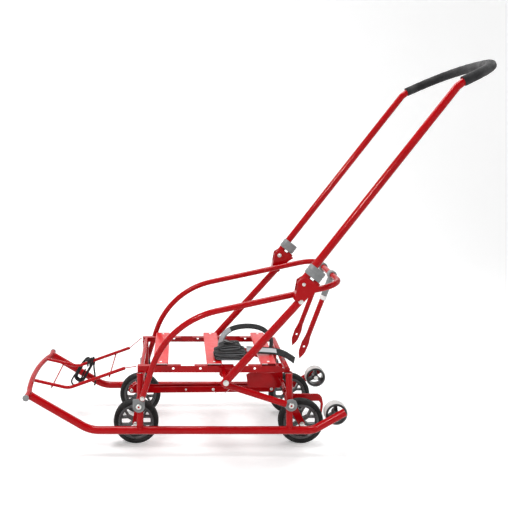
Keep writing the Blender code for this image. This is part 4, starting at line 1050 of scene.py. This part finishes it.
def make_harness():
    top = SEAT_TOP + 0.0003
    # The folded straps: flat loops of webbing stacked on the middle slat, as they are packed.
    loops = [
        (-0.108, 0.0066, 0.042, 0.0066, 0.0, 0.0115),
        (-0.107, 0.0185, 0.044, 0.0068, 0.05, 0.011),
        (-0.082, 0.007, 0.0435, 0.007, -0.02, 0.0115),
        (-0.081, 0.019, 0.042, 0.0072, 0.07, 0.011),
        (-0.063, 0.008, 0.038, 0.007, 0.03, 0.009),
        (-0.096, 0.0305, 0.031, 0.0064, 0.13, 0.011),
        (-0.074, 0.031, 0.029, 0.0066, 0.18, 0.011),
    ]
    for k, (y, height, reach, rise, tilt, width) in enumerate(loops):
        for ply, (inset, cloth) in enumerate(((0.0, WEBBING), (0.0026, PIPING))):
            route = []
            for j in range(41):
                angle = 2 * pi * j / 40 * 0.975 + 0.3 * (k % 3)
                a = (reach - inset) * copysign(abs(cos(angle)) ** 0.7, cos(angle))
                b = (rise - inset) * copysign(abs(sin(angle)) ** 0.8, sin(angle))
                a, b = a * cos(tilt) - b * sin(tilt), a * sin(tilt) * 0.6 + b * cos(tilt)
                route.append(at(0.245 + a, y, top + max(height + b, 0.0013)))
            edge = width - 0.0006 if ply else width
            band("harness_fold_%d_%d" % (k, ply), route, edge, 0.0009, cloth,
                 ["harness_bundle"] if k == 0 and ply == 0 else ())
    # The side-release buckle lying on the folds.
    bm = bmesh.new()
    plate = [(-0.019, -0.008), (-0.012, -0.0105), (0.01, -0.0105), (0.019, -0.0065), (0.019, 0.0065),
             (0.01, 0.0105),
             (-0.012, 0.0105), (-0.019, 0.008)]
    centre = at(0.248, -0.086, top + 0.0405)
    rings = []
    for z, size in ((-0.0028, 0.92), (-0.0016, 1.0), (0.0012, 1.0), (0.0026, 0.88), (0.0026, 0.62),
                    (0.0018, 0.56)):
        rings.append([bm.verts.new(centre + Vector((a * size, b * size, z - a * 0.22))) for a, b in plate])
    closed_skin(bm, rings)
    finish_mesh("harness_buckle", bm, ROOT, BLACK, angle=30)
    lie = [(0.295, top + 0.013), (0.32, top + 0.012), (0.348, top + 0.0108), (0.376, top + 0.0082),
           (0.4, top + 0.001), (0.418, top - 0.0095), (0.43, top - 0.018)]
    route = smooth_route([at(x, -0.066, z) for x, z in lie], 48)
    band("harness_tail", route, 0.0125, 0.0012, BANDED, ["harness_strap"], STRAP_ROLL)
    arch = [(0.22, top + 0.003), (0.2235, 0.266), (0.233, 0.288), (0.252, 0.304), (0.28, 0.312),
            (0.312, 0.313), (0.34, 0.306), (0.36, 0.29), (0.368, 0.27), (0.366, top + 0.003)]
    route = smooth_route([at(x, -0.038, z) for x, z in arch], 64)
    band("harness_arch_band", route, 0.008, 0.0022, WEBBING, ["harness_arch"], ARCH_ROLL)
    band("harness_cuff", route[2:20], 0.0084, 0.0026, SILVER, (), ARCH_ROLL)


# ---- carried-over CAD nodes ---------------------------------------------------------------------
def dress_nodes():
    """Gives every CAD node that still shows its finished material."""
    finishes = {"grey_plastic": GREY, "zinc": ZINC, "black_rubber": TYRE, "black_plastic": DARK,
                "black_foam": FOAM,
                "black_webbing": WEBBING, "red_paint": PAINT}
    slots = {entry["node"]: entry["material_slot"] for entry in frame["record"]["subparts"]}
    for name, node in frame["nodes"].items():
        if node.hide_render:
            continue
        for slot in node.material_slots:
            slot.material = finishes[slots[name]]


# ---- stage --------------------------------------------------------------------------------------
def make_stage():
    bm = bmesh.new()
    rows = []
    sweep = [(1.2 * sin(t * pi / 24), 1.2 - 1.2 * cos(t * pi / 24)) for t in range(13)]
    profile = [(-7.2, 6.0)] + [(-6.0 - y, z) for y, z in reversed(sweep)] + [(2.2 + y, z) for y, z in sweep]
    for y, z in profile + [(3.4, 6.0)]:
        rows.append((bm.verts.new((-7, y, z)), bm.verts.new((7, y, z))))
    for low, high in zip(rows, rows[1:]):
        bm.faces.new([low[0], low[1], high[1], high[0]])
    ends = [bm.faces.new([row[k] for row in rows]) for k in (0, 1)]
    for face in bm.faces:
        face.smooth = face not in ends
    mesh = bpy.data.meshes.new("floor")
    bm.to_mesh(mesh)
    bm.free()
    floor = bpy.data.objects.new("floor", mesh)
    m = Nodes("pale_floor")
    m.set(Base_Color=(0.93, 0.93, 0.93, 1.0), Roughness=0.85, Specular_IOR_Level=0.1)
    m.set(Emission_Color=(1.0, 1.0, 1.0, 1.0), Emission_Strength=0.28)
    mesh.materials.append(m.material)
    bpy.context.scene.collection.objects.link(floor)
    world = bpy.data.worlds.new("studio")
    world.use_nodes = True
    world.node_tree.nodes["Background"].inputs["Color"].default_value = (1.0, 1.0, 1.0, 1.0)
    world.node_tree.nodes["Background"].inputs["Strength"].default_value = 0.22
    bpy.context.scene.world = world
    bpy.context.scene.view_settings.view_transform = "Standard"
    lamps = (("key", (-1.8, -2.2, 3.0), 0.6, 78.0), ("fill", (2.8, -1.6, 1.6), 1.4, 10.0),
             ("top", (-0.3, 0.6, 3.4), 1.2, 74.0), ("back", (0.6, 2.4, 2.4), 1.4, 22.0))
    for name, place, size, power in lamps:
        data = bpy.data.lights.new(name, "AREA")
        data.shape = "SQUARE"
        data.size = size
        data.energy = power
        lamp = bpy.data.objects.new(name, data)
        lamp.location = place
        lamp.rotation_euler = (Vector((0, 0, 0.35)) - Vector(place)).to_track_quat("-Z", "Y").to_euler()
        bpy.context.scene.collection.objects.link(lamp)


def main():
    make_camera()
    make_rope()
    make_frame_tubes()
    make_welds()
    make_seat()
    make_plugs()
    make_handle()
    make_locks()
    make_fasteners()
    make_bearings()
    make_link_hardware()
    make_spring()
    make_big_wheels()
    make_tail_wheels()
    make_struts()
    make_harness()
    dress_nodes()
    make_stage()


main()
bpy.context.view_layer.update()
